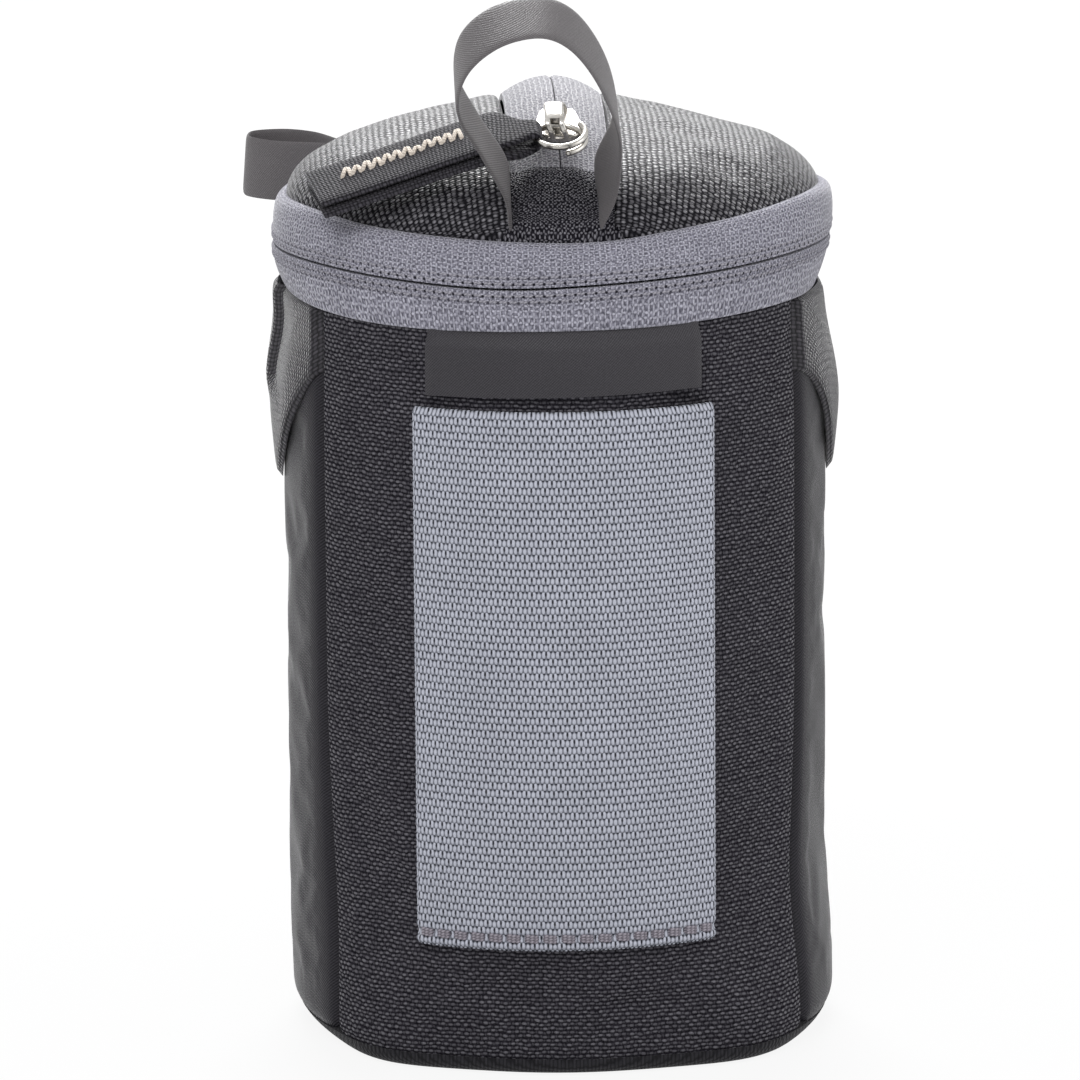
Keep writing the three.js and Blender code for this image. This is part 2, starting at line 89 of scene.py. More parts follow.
BODY_R = radii("front_panel")[1]
PANEL_TOP = heights("front_panel")[1]
TAPE_IN, TAPE_OUT = radii("lower_zip_tape")
BAND_BOTTOM, LOWER_LIP = heights("lower_zip_tape")
UPPER_LIP, BAND_TOP = heights("upper_zip_tape")
ZIP_Z = (LOWER_LIP + UPPER_LIP) / 2
LINING_R = radii("wall_lining")[0]
FLOOR_Z = heights("base_lining")[1]
BINDING_TOP = heights("rim_binding")[1]
BELT_BOTTOM, BELT_TOP = heights("belt_webbing")
LABEL_BOTTOM, LABEL_TOP = heights("name_label")
CROWN_C = joint_place("crown_slider_travel")[2]
CROWN_R = np.hypot(corners("crown_tape_left")[:, 1], corners("crown_tape_left")[:, 2] - CROWN_C).max()
CROWN_END = math.degrees(math.asin(corners("crown_tape_left")[:, 1].max() / CROWN_R))

# Sizes of the cloth, as in the solids
SEAM_TOP = 62.8
SEAM_FOOT = 58.0
SEAM_LEAN = 62.0
HINGE_HALF = 27.0
ZIP_END = 180 - HINGE_HALF - 0.4
ZIP_START = -ZIP_END
SKIN = 1.1
PANEL_FOOT = 2.3
LID_RISE = 13.9
DOME_SHOULDER = 0.40
DOME_REACH = TAPE_OUT - 2.26
DOME_FOOT = BAND_TOP - 1.42
CROWN_HALF = 7.7
CROWN_ARCH = 2.8
CROWN_SLIT = 0.1
BELT_HALF_ANGLE = 32.1
LABEL_HALF_ANGLE = 29.0
RIBBON_WIDTH = 10.0
RIBBON_THICKNESS = 0.6
STITCH_PITCH = 1.6
STITCH_ROWS = (0.97, 1.9)

# Angles at which edges turn sharp in the shading
SHARP = 38.0
SHARP_RELIEF = 70.0
SHARP_METAL = 40.0
SHARP_THREAD = 80.0
SHARP_NEVER = 180.0


# Geometry helpers
def polar(radius, angle, height):
    """Points round the body: the angle runs from the front towards the viewer's left."""
    turn = np.radians(angle)
    return np.stack(np.broadcast_arrays(-radius * np.sin(turn), -radius * np.cos(turn), height), axis=-1)


def ease(value, low, high):
    share = np.clip((np.asarray(value, float) - low) / (high - low), 0, 1)
    return share * share * (3 - 2 * share)


def bell(value, middle, width):
    """Smooth hump of height 1, down to about a third at its width from the middle."""
    return np.exp(-((value - middle) / width) ** 2)


def apart(angle, middle):
    """Signed angle from the middle one, between -180 and 180."""
    return (np.asarray(angle, float) - middle + 180) % 360 - 180


def grid(first, second):
    return np.meshgrid(first, second, indexing="ij")


def pair(across, along):
    """Cloth coordinates from the two distances."""
    return np.stack(np.broadcast_arrays(across, along), axis=-1)


def unit(vectors):
    vectors = np.asarray(vectors, float)
    return vectors / np.maximum(np.linalg.norm(vectors, axis=-1, keepdims=True), 1e-9)


def outward(points):
    """Level directions away from the body's axis."""
    return unit(points * [1, 1, 0])


def lengths_along(points):
    steps = np.linalg.norm(np.diff(points, axis=0), axis=1)
    return np.concatenate([[0], np.cumsum(steps)])


def resample(points, count):
    run = lengths_along(points)
    marks = np.linspace(0, run[-1], count)
    return np.stack([np.interp(marks, run, points[:, axis]) for axis in range(points.shape[1])], axis=1)


def spline(points, count):
    """Evenly spaced points on a smooth curve through the given ones."""
    p = np.asarray(points, float)
    p = np.vstack([2 * p[0] - p[1], p, 2 * p[-1] - p[-2]])
    t = np.linspace(0, 1, 24, endpoint=False)[:, None]
    runs = []
    for i in range(len(p) - 3):
        a, b, c, d = p[i:i + 4]
        bend = 2 * a - 5 * b + 4 * c - d
        runs.append(0.5 * (2 * b + (c - a) * t + bend * t ** 2 + (3 * b - a - 3 * c + d) * t ** 3))
    return resample(np.vstack(runs + [p[-2:-1]]), count)


def rounded(outline):
    """A closed outline with its corners cut round."""
    points = np.asarray(outline, float)
    for _ in range(2):
        after = np.roll(points, -1, axis=0)
        points = np.stack([0.75 * points + 0.25 * after, 0.25 * points + 0.75 * after], axis=1)
        points = points.reshape(-1, points.shape[-1])
    return points


def wave(places, seed, size):
    """Smooth seeded unevenness between about -1 and 1, with features of the given size."""
    rng = np.random.default_rng(seed)
    total = np.zeros(places.shape[:-1])
    for _ in range(7):
        heading = unit(rng.normal(size=3)) * rng.uniform(0.6, 1.5) * 2 * math.pi / size
        total += np.sin(places @ heading + rng.uniform(0, 6.28))
    return total / 3.5


def make(name, points, faces, cloth, material, sharp):
    """Mesh object from points, with its cloth coordinates kept as an attribute."""
    mesh = bpy.data.meshes.new(name)
    mesh.from_pydata((np.asarray(points) * MM).tolist(), [], faces)
    weave = np.zeros((len(points), 3))
    weave[:, :2] = cloth
    layer = mesh.attributes.new("cloth", "FLOAT_VECTOR", "POINT")
    layer.data.foreach_set("vector", weave.ravel())
    shape = bmesh.new()
    shape.from_mesh(mesh)
    bmesh.ops.remove_doubles(shape, verts=shape.verts, dist=1e-6)
    bmesh.ops.dissolve_degenerate(shape, edges=shape.edges, dist=1e-7)
    bmesh.ops.recalc_face_normals(shape, faces=shape.faces)
    shape.to_mesh(mesh)
    shape.free()
    mesh.polygons.foreach_set("use_smooth", [True] * len(mesh.polygons))
    mesh.set_sharp_from_angle(angle=math.radians(sharp))
    mesh.materials.append(material)
    return link(name, mesh)


def link(name, data):
    obj = bpy.data.objects.new(name, data)
    bpy.context.scene.collection.objects.link(obj)
    return obj


def quads(rows, columns, start=0, wrap_rows=False, wrap_columns=False):
    index = np.arange(rows * columns).reshape(rows, columns) + start
    if wrap_rows:
        index = np.vstack([index, index[:1]])
    if wrap_columns:
        index = np.hstack([index, index[:, :1]])
    corners_of = (index[:-1, :-1], index[1:, :-1], index[1:, 1:], index[:-1, 1:])
    return np.stack([c.ravel() for c in corners_of], axis=1).tolist()


def slab(name, outer, inner, cloth, material, sharp=SHARP):
    """Closed sheet between two grids of points that share their borders' order."""
    rows, columns = outer.shape[:2]
    count = rows * columns
    points = np.vstack([outer.reshape(-1, 3), inner.reshape(-1, 3)])
    faces = quads(rows, columns) + [face[::-1] for face in quads(rows, columns, count)]
    index = np.arange(count).reshape(rows, columns)
    border = np.concatenate([index[:-1, 0], index[-1, :-1], index[:0:-1, -1], index[0, :0:-1]])
    after = np.roll(border, -1)
    faces += np.stack([border, after, after + count, border + count], axis=1).tolist()
    weave = np.vstack([cloth.reshape(-1, 2)] * 2)
    return make(name, points, faces, weave, material, sharp)


def loft(name, loops, cloth, material, closed=False):
    """Skin over closed loops of points, with a cap on each end unless the loops run round."""
    stations, sides = loops.shape[:2]
    faces = quads(stations, sides, wrap_rows=closed, wrap_columns=True)
    if not closed:
        faces.append(list(range(sides))[::-1])
        faces.append(list(range((stations - 1) * sides, stations * sides)))
    return make(name, loops.reshape(-1, 3), faces, cloth.reshape(-1, 2), material, SHARP)


def band(name, centre, across, width, thickness, material, columns, roundness=8, relief=None, skew=None):
    """Strap along a centre line; across points along its width, skew is how far its edges run ahead."""
    tangent = unit(np.gradient(centre, axis=0))
    across = unit(across - tangent * np.sum(across * tangent, axis=1, keepdims=True))
    normal = np.cross(tangent, across)
    run = lengths_along(centre)
    widest = math.pi / 2 * 0.9
    share = np.sin(np.linspace(-1, 1, columns) * widest) / math.sin(widest)
    offset = share * np.broadcast_to(np.asarray(width, float), len(centre))[:, None] / 2
    edge = np.sqrt(np.clip(1 - np.abs(share) ** roundness, 0, 1))
    half = thickness / 2 * edge * np.ones_like(offset)
    middle = centre[:, None] + across[:, None] * offset[..., None]
    if skew is not None:
        middle = middle + tangent[:, None] * (skew[:, None] * share)[..., None]
    cloth = pair(offset, run[:, None])
    lift = relief(cloth[..., 0], cloth[..., 1]) * (half > 0) if relief else 0
    outer = middle + normal[:, None] * (half + lift)[..., None]
    inner = middle - normal[:, None] * half[..., None]
    return slab(name, outer, inner, cloth, material)


def turned(name, profile, material):
    """Round piece from a closed profile in radius and height; points on the axis are joined."""
    shape = np.asarray(profile, float)
    angles = np.linspace(0, 360, 144, endpoint=False)
    loops = polar(shape[:, 0], angles[:, None], shape[:, 1])
    return loft(name, loops, loops[..., :2], material, closed=True)


def tube_rings(line, radius, sides):
    """Rings of points round a line."""
    tangent = unit(np.gradient(line, axis=0))
    first = unit(np.cross(tangent, [0.31, 0.17, 0.94]))
    second = np.cross(tangent, first)
    angle = np.linspace(0, 2 * math.pi, sides, endpoint=False)[:, None]
    ring = first[:, None] * np.cos(angle) + second[:, None] * np.sin(angle)
    return line[:, None] + ring * radius[:, None, None]


def threads(name, lines, radius, material, sides=6):
    """One mesh of round threads with narrowed ends, along several lines of points."""
    points, faces, cloth = [], [], []
    start = 0
    for line in lines:
        taper = np.full(len(line), radius)
        taper[0] = taper[-1] = radius * 0.3
        count = len(line) * sides
        faces += quads(len(line), sides, start, wrap_columns=True)
        faces.append(list(range(start, start + sides))[::-1])
        faces.append(list(range(start + count - sides, start + count)))
        points.append(tube_rings(line, taper, sides).reshape(-1, 3))
        cloth.append(pair(np.arange(sides) / sides, lengths_along(line)[:, None]).reshape(-1, 2))
        start += count
    return make(name, np.vstack(points), faces, np.vstack(cloth), material, SHARP_THREAD)


def join(name, objects):
    """One object from several of one material, keeping their cloth coordinates."""
    shape = bmesh.new()
    mesh = bpy.data.meshes.new(name)
    mesh.materials.append(objects[0].data.materials[0])
    for obj in objects:
        shape.from_mesh(obj.data)
        bpy.data.objects.remove(obj)
    shape.to_mesh(mesh)
    shape.free()
    return link(name, mesh)


def place(obj, body, slot, *nodes):
    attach(obj, body)
    if nodes:
        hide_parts(*nodes)


# Material helpers
class Graph:
    """Short hand for the node tree of one material."""

    def __init__(self, name):
        self.material = bpy.data.materials.new(name)
        self.material.use_nodes = True
        self.tree = self.material.node_tree
        self.tree.nodes.clear()
        self.shader = self.node("ShaderNodeBsdfPrincipled")
        self.out = self.node("ShaderNodeOutputMaterial")
        self.put(self.out.inputs[0], self.shader.outputs[0])

    def node(self, kind, **settings):
        node = self.tree.nodes.new(kind)
        for key, value in settings.items():
            setattr(node, key, value)
        return node

    def put(self, socket, value):
        if isinstance(value, bpy.types.NodeSocket):
            self.tree.links.new(value, socket)
        else:
            socket.default_value = value

    def math(self, operation, *values):
        node = self.node("ShaderNodeMath", operation=operation)
        for socket, value in zip(node.inputs, values):
            self.put(socket, value)
        return node.outputs[0]

    def add(self, first, second):
        return self.math("ADD", first, second)

    def less(self, first, second):
        return self.math("SUBTRACT", first, second)

    def times(self, first, second):
        return self.math("MULTIPLY", first, second)

    def over(self, first, second):
        return self.math("DIVIDE", first, second)

    def scaled(self, value, factor, extra):
        return self.math("MULTIPLY_ADD", value, factor, extra)

    def sine(self, value, factor):
        return self.math("SINE", self.times(value, factor))

    def squares(self, first, second):
        return self.add(self.math("POWER", first, 2.0), self.math("POWER", second, 2.0))

    def remap(self, value, low, high, to_low, to_high):
        node = self.node("ShaderNodeMapRange", interpolation_type="SMOOTHSTEP")
        for socket, number in zip(node.inputs, (value, low, high, to_low, to_high)):
            self.put(socket, number)
        return node.outputs[0]

    def mix(self, share, first, second):
        node = self.node("ShaderNodeMix", data_type="RGBA")
        for place_in, value in zip((0, 6, 7), (share, first, second)):
            self.put(node.inputs[place_in], value)
        return node.outputs[2]

    def coordinates(self):
        """Cloth coordinates in mm: across, along and both as a vector."""
        vector = self.node("ShaderNodeAttribute", attribute_name="cloth").outputs["Vector"]
        split = self.node("ShaderNodeSeparateXYZ")
        self.put(split.inputs[0], vector)
        return split.outputs[0], split.outputs[1], vector

    def noise(self, vector, scale, detail=2.0):
        node = self.node("ShaderNodeTexNoise")
        for key, value in (("Vector", vector), ("Scale", scale), ("Detail", detail)):
            self.put(node.inputs[key], value)
        return node.outputs[0]

    def bump(self, height, depth, strength=1.0):
        node = self.node("ShaderNodeBump")
        for key, value in (("Strength", strength), ("Distance", depth * MM), ("Height", height)):
            self.put(node.inputs[key], value)
        self.put(self.shader.inputs["Normal"], node.outputs[0])

    def finish(self, colour, roughness, **constants):
        self.put(self.shader.inputs["Base Color"], colour)
        self.put(self.shader.inputs["Roughness"], roughness)
        for key, value in constants.items():
            self.shader.inputs[key.replace("_", " ").title().replace("Ior", "IOR")].default_value = value
        return self.material


def rgb(red, green, blue):
    """Linear colour from display values between 0 and 255."""
    def linear(value):
        share = value / 255
        return share / 12.92 if share <= 0.04045 else ((share + 0.055) / 1.055) ** 2.4
    return (linear(red), linear(green), linear(blue), 1.0)


def plain_weave(g, across, along):
    """Height of a plain weave, 0 to 1, and the share of it that the lengthwise yarn carries."""
    column = g.math("FLOOR", across)
    row = g.math("FLOOR", along)
    in_column = g.less(g.less(across, column), 0.5)
    in_row = g.less(g.less(along, row), 0.5)
    rise = g.sine(g.add(along, column), math.pi)
    dip = g.sine(g.add(g.add(across, row), 1.0), math.pi)
    warp = g.times(g.math("COSINE", g.times(in_column, math.pi)), g.scaled(rise, 0.5, 0.5))
    weft = g.times(g.math("COSINE", g.times(in_row, math.pi)), g.scaled(dip, 0.5, 0.5))
    lead = g.remap(g.less(warp, weft), -0.25, 0.25, 0.0, 1.0)
    return g.math("MAXIMUM", warp, weft), lead


def dice(g, column, row, seed=0.0):
    """One random number and a random vector for each yarn crossing."""
    cell = g.node("ShaderNodeCombineXYZ")
    for socket, value in zip(cell.inputs, (column, row, seed)):
        g.put(socket, value)
    chance = g.node("ShaderNodeTexWhiteNoise", noise_dimensions="3D")
    g.put(chance.inputs["Vector"], cell.outputs[0])
    parts = g.node("ShaderNodeSeparateXYZ")
    g.put(parts.inputs[0], chance.outputs["Color"])
    return chance.outputs["Value"], parts.outputs


def uneven(g, vector):
    """Slow and fine unevenness, both about 0.5."""
    return g.noise(vector, 0.12, 3.0), g.noise(vector, 2.3)


def wander(g, vector):
    """Small sideways drift of the yarns in mm."""
    return g.scaled(g.noise(vector, 0.35), 0.7, -0.35)


def shaded(g, colour, slow, fine, mottle, chance=0.5, speck=0.0):
    """The colour with its level varied by the two noises and from yarn to yarn."""
    level = g.scaled(g.add(slow, fine), mottle, 1.0 - mottle)
    if speck:
        level = g.times(level, g.scaled(chance, speck, 1.0 - speck / 2))
    shade = g.node("ShaderNodeVectorMath", operation="SCALE")
    g.put(shade.inputs[0], colour)
    g.put(shade.inputs["Scale"], level)
    return shade.outputs[0]


def pierced(g, across, along, height, colour, holes):
    """Needle holes along the given rows, sunk in the relief and darkened with painted shade: start along the
    row, place of the row and colour of the painted shade.
    """
    for start, row, shade in holes:
        aside = g.math("WRAP", g.less(across, start), STITCH_PITCH / 2, -STITCH_PITCH / 2)
        open_share = g.remap(g.squares(aside, g.less(along, row)), 0.02, 0.09, 0.0, 1.0)
        # painted shade: each needle hole takes the dark colour of its row
        colour = g.mix(open_share, shade, colour)
        height = g.times(height, open_share)
    return height, colour


def woven(name, pitch, warp, weft, gap, depth, rough, mottle=0.25, speck=0.3, **constants):
    """Plain-woven cloth: two yarn colours, dark gaps, yarn relief and soft unevenness."""
    g = Graph(name)
    across, along, vector = g.coordinates()
    slow, fine = uneven(g, vector)
    drift = wander(g, vector)
    u = g.over(g.scaled(drift, 0.5, across), pitch[0])
    v = g.over(g.scaled(drift, 0.5, along), pitch[1])
    height, lead = plain_weave(g, u, v)
    chance, _ = dice(g, g.math("FLOOR", u), g.math("FLOOR", v))
    open_share = g.remap(g.scaled(fine, 0.5, height), 0.45, 1.15, 0.0, 1.0)
    colour = g.mix(open_share, gap, g.mix(lead, weft, warp))
    g.bump(g.scaled(fine, 0.3, height), depth)
    colour = shaded(g, colour, slow, fine, mottle, chance, speck)
    return g.finish(colour, g.remap(height, 0.2, 1.0, rough + 0.2, rough), **constants)


def spotted(name, period, marks, jitter, thread, ground, gap, depth, shine, fuzz, rough=0.5, haze=0.0,
            gloss=0.0, holes=(), **constants):
    """Coarse cloth: uneven bright yarn crowns on a dark ground.

    The crowns have the full shine and fuzz; the ground keeps the share haze of the fuzz, and its own gloss.
    """
    g = Graph(name)
    across, along, vector = g.coordinates()
    slow, fine = uneven(g, vector)
    drift = wander(g, vector)
    place_in = (g.add(across, drift), g.add(along, drift))
    height = None
    for number, (spot, size, level) in enumerate(marks):
        from_spot = [g.less(way, start) for way, start in zip(place_in, spot)]
        cell = [g.math("ROUND", g.over(way, step)) for way, step in zip(from_spot, period)]
        chance, shift = dice(g, cell[0], cell[1], number)
        near = []
        for axis in (0, 1):
            from_middle = g.scaled(cell[axis], -period[axis], from_spot[axis])
            from_middle = g.scaled(g.less(shift[axis], 0.5), jitter, from_middle)
            near.append(g.over(from_middle, size[axis]))
        crown = g.remap(g.squares(*near), 0.0, 1.3, level, 0.0)
        crown = g.times(crown, g.scaled(chance, 0.6, 0.5))
        height = crown if height is None else g.math("MAXIMUM", height, crown)
    base = g.mix(g.remap(fine, 0.35, 0.65, 0.0, 1.0), gap, ground)
    height, colour = pierced(g, across, along, height, g.mix(height, base, thread), holes)
    g.bump(g.scaled(fine, 0.3, height), depth)
    g.put(g.shader.inputs["Specular IOR Level"], g.scaled(height, shine - gloss, gloss))
    g.put(g.shader.inputs["Sheen Weight"], g.scaled(height, fuzz * (1 - haze), fuzz * haze))
    colour = shaded(g, colour, slow, fine, 0.3)
    return g.finish(colour, g.remap(height, 0.0, 1.0, rough + 0.2, rough), **constants)


def webbed(name, pitch, crown, flank, gap, depth, rough, **constants):
    """Webbing: rows of upright floats in threes with dark slits between, each row half a group aside."""
    g = Graph(name)
    across, along, vector = g.coordinates()
    slow, fine = uneven(g, vector)
    row = g.over(g.scaled(wander(g, vector), 0.25, along), pitch[1])
    number = g.math("FLOOR", row)
    rise = g.less(g.less(row, number), 0.5)
    shift = g.times(g.math("FLOORED_MODULO", number, 2.0), WEB_GROUP / 2)
    aside = g.math("WRAP", g.add(g.over(across, pitch[0]), shift), WEB_GROUP / 2, -WEB_GROUP / 2)
    aside = g.math("ABSOLUTE", aside)

    def ovals(spots, inner, outer):
        shares = []
        for spot, size in spots:
            near = g.squares(g.over(g.less(aside, spot[0]), size[0]), g.over(g.less(rise, spot[1]), size[1]))
            shares.append(g.remap(near, inner, outer, 1.0, 0.0))
        return g.math("MAXIMUM", *shares)

    height = ovals(WEB_FLOATS, 0.0, 1.3)
    dark = ovals(WEB_SLITS, 0.1, 1.2)
    yarn = g.mix(g.remap(height, 0.1, 0.9, 0.0, 1.0), flank, crown)
    relief = g.less(height, dark)
    g.bump(g.scaled(fine, 0.25, relief), depth)
    colour = shaded(g, g.mix(dark, yarn, gap), slow, fine, 0.25)
    return g.finish(colour, g.remap(relief, 0.0, 1.0, rough + 0.2, rough), **constants)


def twilled(name, pitch, ridge, groove, depth, rough, mottle=0.2, **constants):
    """Fine twill: slanting ridges crossed by a weaker beat."""
    g = Graph(name)
    across, along, vector = g.coordinates()
    slow, fine = uneven(g, vector)
    turn = 2 * math.pi / pitch
    slant = g.sine(g.add(along, across), turn)
    beat = g.sine(g.scaled(across, -0.6, along), turn * 0.9)
    height = g.remap(g.scaled(fine, 1.6, g.scaled(beat, 0.3, slant)), -0.6, 2.2, 0.0, 1.0)
    g.bump(height, depth)
    colour = shaded(g, g.mix(height, groove, ridge), slow, fine, mottle)
    return g.finish(colour, g.remap(height, 0.0, 1.0, rough + 0.15, rough), **constants)


def spun(name, light, dark, rough):
    """Twisted sewing thread: slanting plies along its length."""
    g = Graph(name)
    girth, run, vector = g.coordinates()
    height = g.scaled(g.sine(g.scaled(run, 1.6, girth), 2 * math.pi), 0.5, 0.5)
    fuzz = g.noise(vector, 4.0)
    g.bump(g.scaled(fuzz, 0.4, height), 0.06)
    return g.finish(g.mix(height, dark, light), g.scaled(fuzz, 0.2, rough))


def metal(name, bright, dull):
    """Plated metal: bright, with faint cloudy wear and fine scuffs."""
    g = Graph(name)
    local = g.node("ShaderNodeTexCoord").outputs["Object"]
    cloud = g.noise(local, 420.0, 4.0)
    g.bump(g.scaled(g.noise(local, 3100.0), 0.4, cloud), 0.02, 0.5)
    worn = g.remap(cloud, 0.35, 0.7, 0.0, 1.0)
    return g.finish(g.mix(worn, bright, dull), g.scaled(cloud, 0.22, 0.12), metallic=1.0)


# Yarn crowns of the coarse cloths: place in the repeat, half sizes and level
FRONT_MARKS = (((0, 0), (0.46, 0.26), 1.0), ((0.63, 0.66), (0.46, 0.26), 1.0),
               ((0.63, 0), (0.2, 0.24), 0.45), ((0, 0.66), (0.2, 0.24), 0.45))
LID_MARKS = (((0, 0), (0.42, 0.31), 1.0), ((1.0, 0.57), (0.42, 0.31), 1.0),
             ((1.0, 0), (0.44, 0.2), 0.45), ((0, 0.57), (0.44, 0.2), 0.45))
TAPE_MARKS = (((0, 0), (0.3, 0.17), 1.0), ((0.43, 0.38), (0.17, 0.3), 1.0), ((0.43, 0), (0.15, 0.2), 0.7))
TAB_MARKS = (((0, 0), (0.24, 0.14), 1.0), ((0.33, 0.31), (0.16, 0.22), 1.0))
# Needle holes of the zip band, dark with painted shade: the second row lies half a stitch on and its painted
# shade is fainter
HOLE_PAINTED_SHADES = (rgb(44, 43, 50), rgb(74, 73, 82))
HOLE_START = math.radians(ZIP_START) * TAPE_OUT
TAPE_HOLES = [(HOLE_START + 0.5 * STITCH_PITCH * number, sign * row, HOLE_PAINTED_SHADES[number])
              for sign in (-1, 1) for number, row in enumerate(STITCH_ROWS)]
# Floats and slits of one group of webbing yarns: place and half size, in yarns across and rows along
WEB_GROUP = 3.0
WEB_FLOATS = (((1.0, 0.04), (0.5, 0.66)), ((0.0, -0.08), (0.5, 0.52)))
WEB_SLITS = (((1.5, 0.14), (0.25, 0.36)), ((0.46, 0.45), (0.3, 0.22)))
WEB_PITCH = (0.68, 1.17)

# Materials
FRONT_CLOTH = spotted("front_cloth", (1.26, 1.32), FRONT_MARKS, 0.14,
                      rgb(106, 104, 111), rgb(47, 45, 51), rgb(27, 26, 31),
                      depth=0.2, shine=0.3, fuzz=0.15, sheen_roughness=0.4)
LID_CLOTH = spotted("lid_cloth", (2.0, 1.14), LID_MARKS, 0.24,
                    rgb(130, 128, 135), rgb(32, 31, 36), rgb(16, 16, 20),
                    depth=0.24, shine=0.7, fuzz=1.0, rough=0.34, haze=0.5, gloss=0.05, sheen_roughness=0.22)
TAB_CLOTH = spotted("tab_cloth", (0.66, 0.62), TAB_MARKS, 0.24,
                    rgb(138, 136, 144), rgb(42, 41, 47), rgb(20, 20, 25),
                    depth=0.2, shine=0.4, fuzz=0.2, sheen_roughness=0.35)
# the zip tape's needle holes are darkened with painted shade
ZIP_TAPE = spotted("zip_tape", (0.86, 0.76), TAPE_MARKS, 0.26,
                   rgb(200, 199, 213), rgb(148, 147, 160), rgb(98, 97, 108),
                   depth=0.1, shine=0.35, fuzz=0.8, rough=0.6, haze=0.5, holes=TAPE_HOLES,
                   sheen_roughness=0.35)
CROWN_TAPE = spotted("crown_tape", (0.8, 0.72), TAPE_MARKS, 0.26,
                     rgb(190, 189, 196), rgb(138, 137, 145), rgb(102, 101, 109),
                     depth=0.09, shine=0.4, fuzz=0.6, rough=0.6, haze=0.5)
BASE_CLOTH = woven("base_cloth", (0.6, 0.6), rgb(46, 45, 50), rgb(38, 37, 42), rgb(18, 17, 21),
                   depth=0.1, rough=0.6, specular_ior_level=0.2, sheen_weight=0.1, sheen_roughness=0.4)
BLACK_WEBBING = woven("black_webbing", (0.56, 0.62), rgb(72, 70, 76), rgb(58, 56, 62), rgb(22, 21, 25),
                      depth=0.16, rough=0.6, speck=0.4,
                      specular_ior_level=0.15, sheen_weight=0.15, sheen_roughness=0.3)
LOOP_WEBBING = woven("loop_webbing", (0.66, 0.62), rgb(72, 69, 75), rgb(58, 56, 62), rgb(24, 23, 27),
                     depth=0.16, rough=0.4, speck=0.5,
                     specular_ior_level=0.3, sheen_weight=0.9, sheen_roughness=0.2)
LINING = woven("lining_cloth", (0.4, 0.4), rgb(62, 61, 66), rgb(56, 55, 60), rgb(32, 31, 34),
               depth=0.06, rough=0.6, mottle=0.2, sheen_weight=0.15)
GREY_WEBBING = webbed("grey_webbing", WEB_PITCH, rgb(200, 203, 216), rgb(122, 125, 136), rgb(50, 52, 64),
                      depth=0.16, rough=0.5, specular_ior_level=0.3, sheen_weight=0.1)
SIDE_CLOTH = twilled("side_cloth", 0.5, rgb(56, 54, 60), rgb(26, 25, 30), depth=0.07, rough=0.34,
                     specular_ior_level=0.18, sheen_weight=0.8, sheen_roughness=0.1)
RIBBON = twilled("ribbon_satin", 0.42, rgb(111, 107, 109), rgb(86, 83, 85), depth=0.04, rough=0.45,
                 specular_ior_level=0.4, sheen_weight=0.1)
LABEL = twilled("label_satin", 0.45, rgb(64, 62, 67), rgb(40, 38, 43), depth=0.05, rough=0.45, mottle=0.15,
                specular_ior_level=0.35, sheen_weight=0.1)
COIL = spun("zip_coil", rgb(132, 131, 140), rgb(96, 95, 104), 0.4)
BAND_THREAD = spun("band_thread", rgb(176, 174, 184), rgb(132, 130, 140), 0.6)
WEBBING_THREAD = spun("webbing_thread", rgb(166, 160, 170), rgb(112, 107, 116), 0.6)
BEIGE_THREAD = spun("beige_thread", rgb(236, 226, 214), rgb(196, 184, 172), 0.6)
NICKEL = metal("nickel", rgb(214, 211, 206), rgb(182, 178, 172))

# Wall panels: name, middle angle, whether it reaches out to the seams, cloth, seed, columns and solid
WALLS = (("front_wall", 0, True, FRONT_CLOTH, 3, 80, "front_panel"),
         ("left_wall", 90, False, SIDE_CLOTH, 5, 50, "left_side_panel"),
         ("back_wall", 180, True, FRONT_CLOTH, 7, 80, "back_panel"),
         ("right_wall", 270, False, SIDE_CLOTH, 11, 50, "right_side_panel"))
PANEL_SINK = 0.45
PANEL_HEM = 0.4
HEM_WIDTH = 0.9
SEAM_GROOVES = ((1.3, 0.8), (0.5, 2.2))
WALL_UNEVENNESS = 0.16
FOOT_ROUND = 3.0
SIDE_FOOT_ROUND = 6.0
FOOT_SQUARE = 2.3
FOOT_SAG = 2.3
SAG_TURN = 298
# Where the sides are drawn in under the zip band: angle and its width, height and its width, depth
WAISTS = ((268, 30, 116.5, 9.5, 1.9), (84, 18, 113.5, 6, 1.3))


def from_front(angle):
    """Angle from the front or the back, whichever is nearer."""
    return np.abs((np.asarray(angle, float) + 90) % 180 - 90)


def foot_edge(angle):
    """Rounding of the foot: tight at the front and back, wide at the sides."""
    return FOOT_ROUND + (SIDE_FOOT_ROUND - FOOT_ROUND) * ease(from_front(angle), 45, 85)


def foot_radius(level, angle):
    """Radius of the wall: rounded in at the foot, squarer before the seams, sagging out at the right."""
    edge = foot_edge(angle)
    below = np.clip(edge - level, 0, edge)
    square = FOOT_SQUARE * bell(from_front(angle), 41, 14) * (1 - ease(level, 3, 26))
    sag = FOOT_SAG * bell(apart(angle, SAG_TURN), 0, 36) * (1 - ease(level, 4, 32))
    return BODY_R - edge + np.sqrt(edge ** 2 - below ** 2) + square + sag


def waist(angle, level):
    """How far the sides are drawn in under the zip band, most at the right."""
    return sum(depth * bell(apart(angle, turn), 0, turn_width) * bell(level, height, height_width)
               for turn, turn_width, height, height_width, depth in WAISTS)


def seam_angle(level):
    """The side seams lean in a little towards the base."""
    return SEAM_FOOT + (SEAM_TOP - SEAM_FOOT) * ease(level, 0, SEAM_LEAN)


def soft_grid(name, points, cloth, free, material):
    """Open grid of cloth whose free share (0 at sewn edges) is kept for the padding step."""
    rows, columns = points.shape[:2]
    faces = quads(rows, columns)
    obj = make(name, points.reshape(-1, 3), faces, cloth.reshape(-1, 2), material, SHARP_NEVER)
    group = obj.vertex_groups.new(name="sewn")
    for index, share in enumerate(free.ravel()):
        group.add([index], float(1 - share), "REPLACE")
    return obj


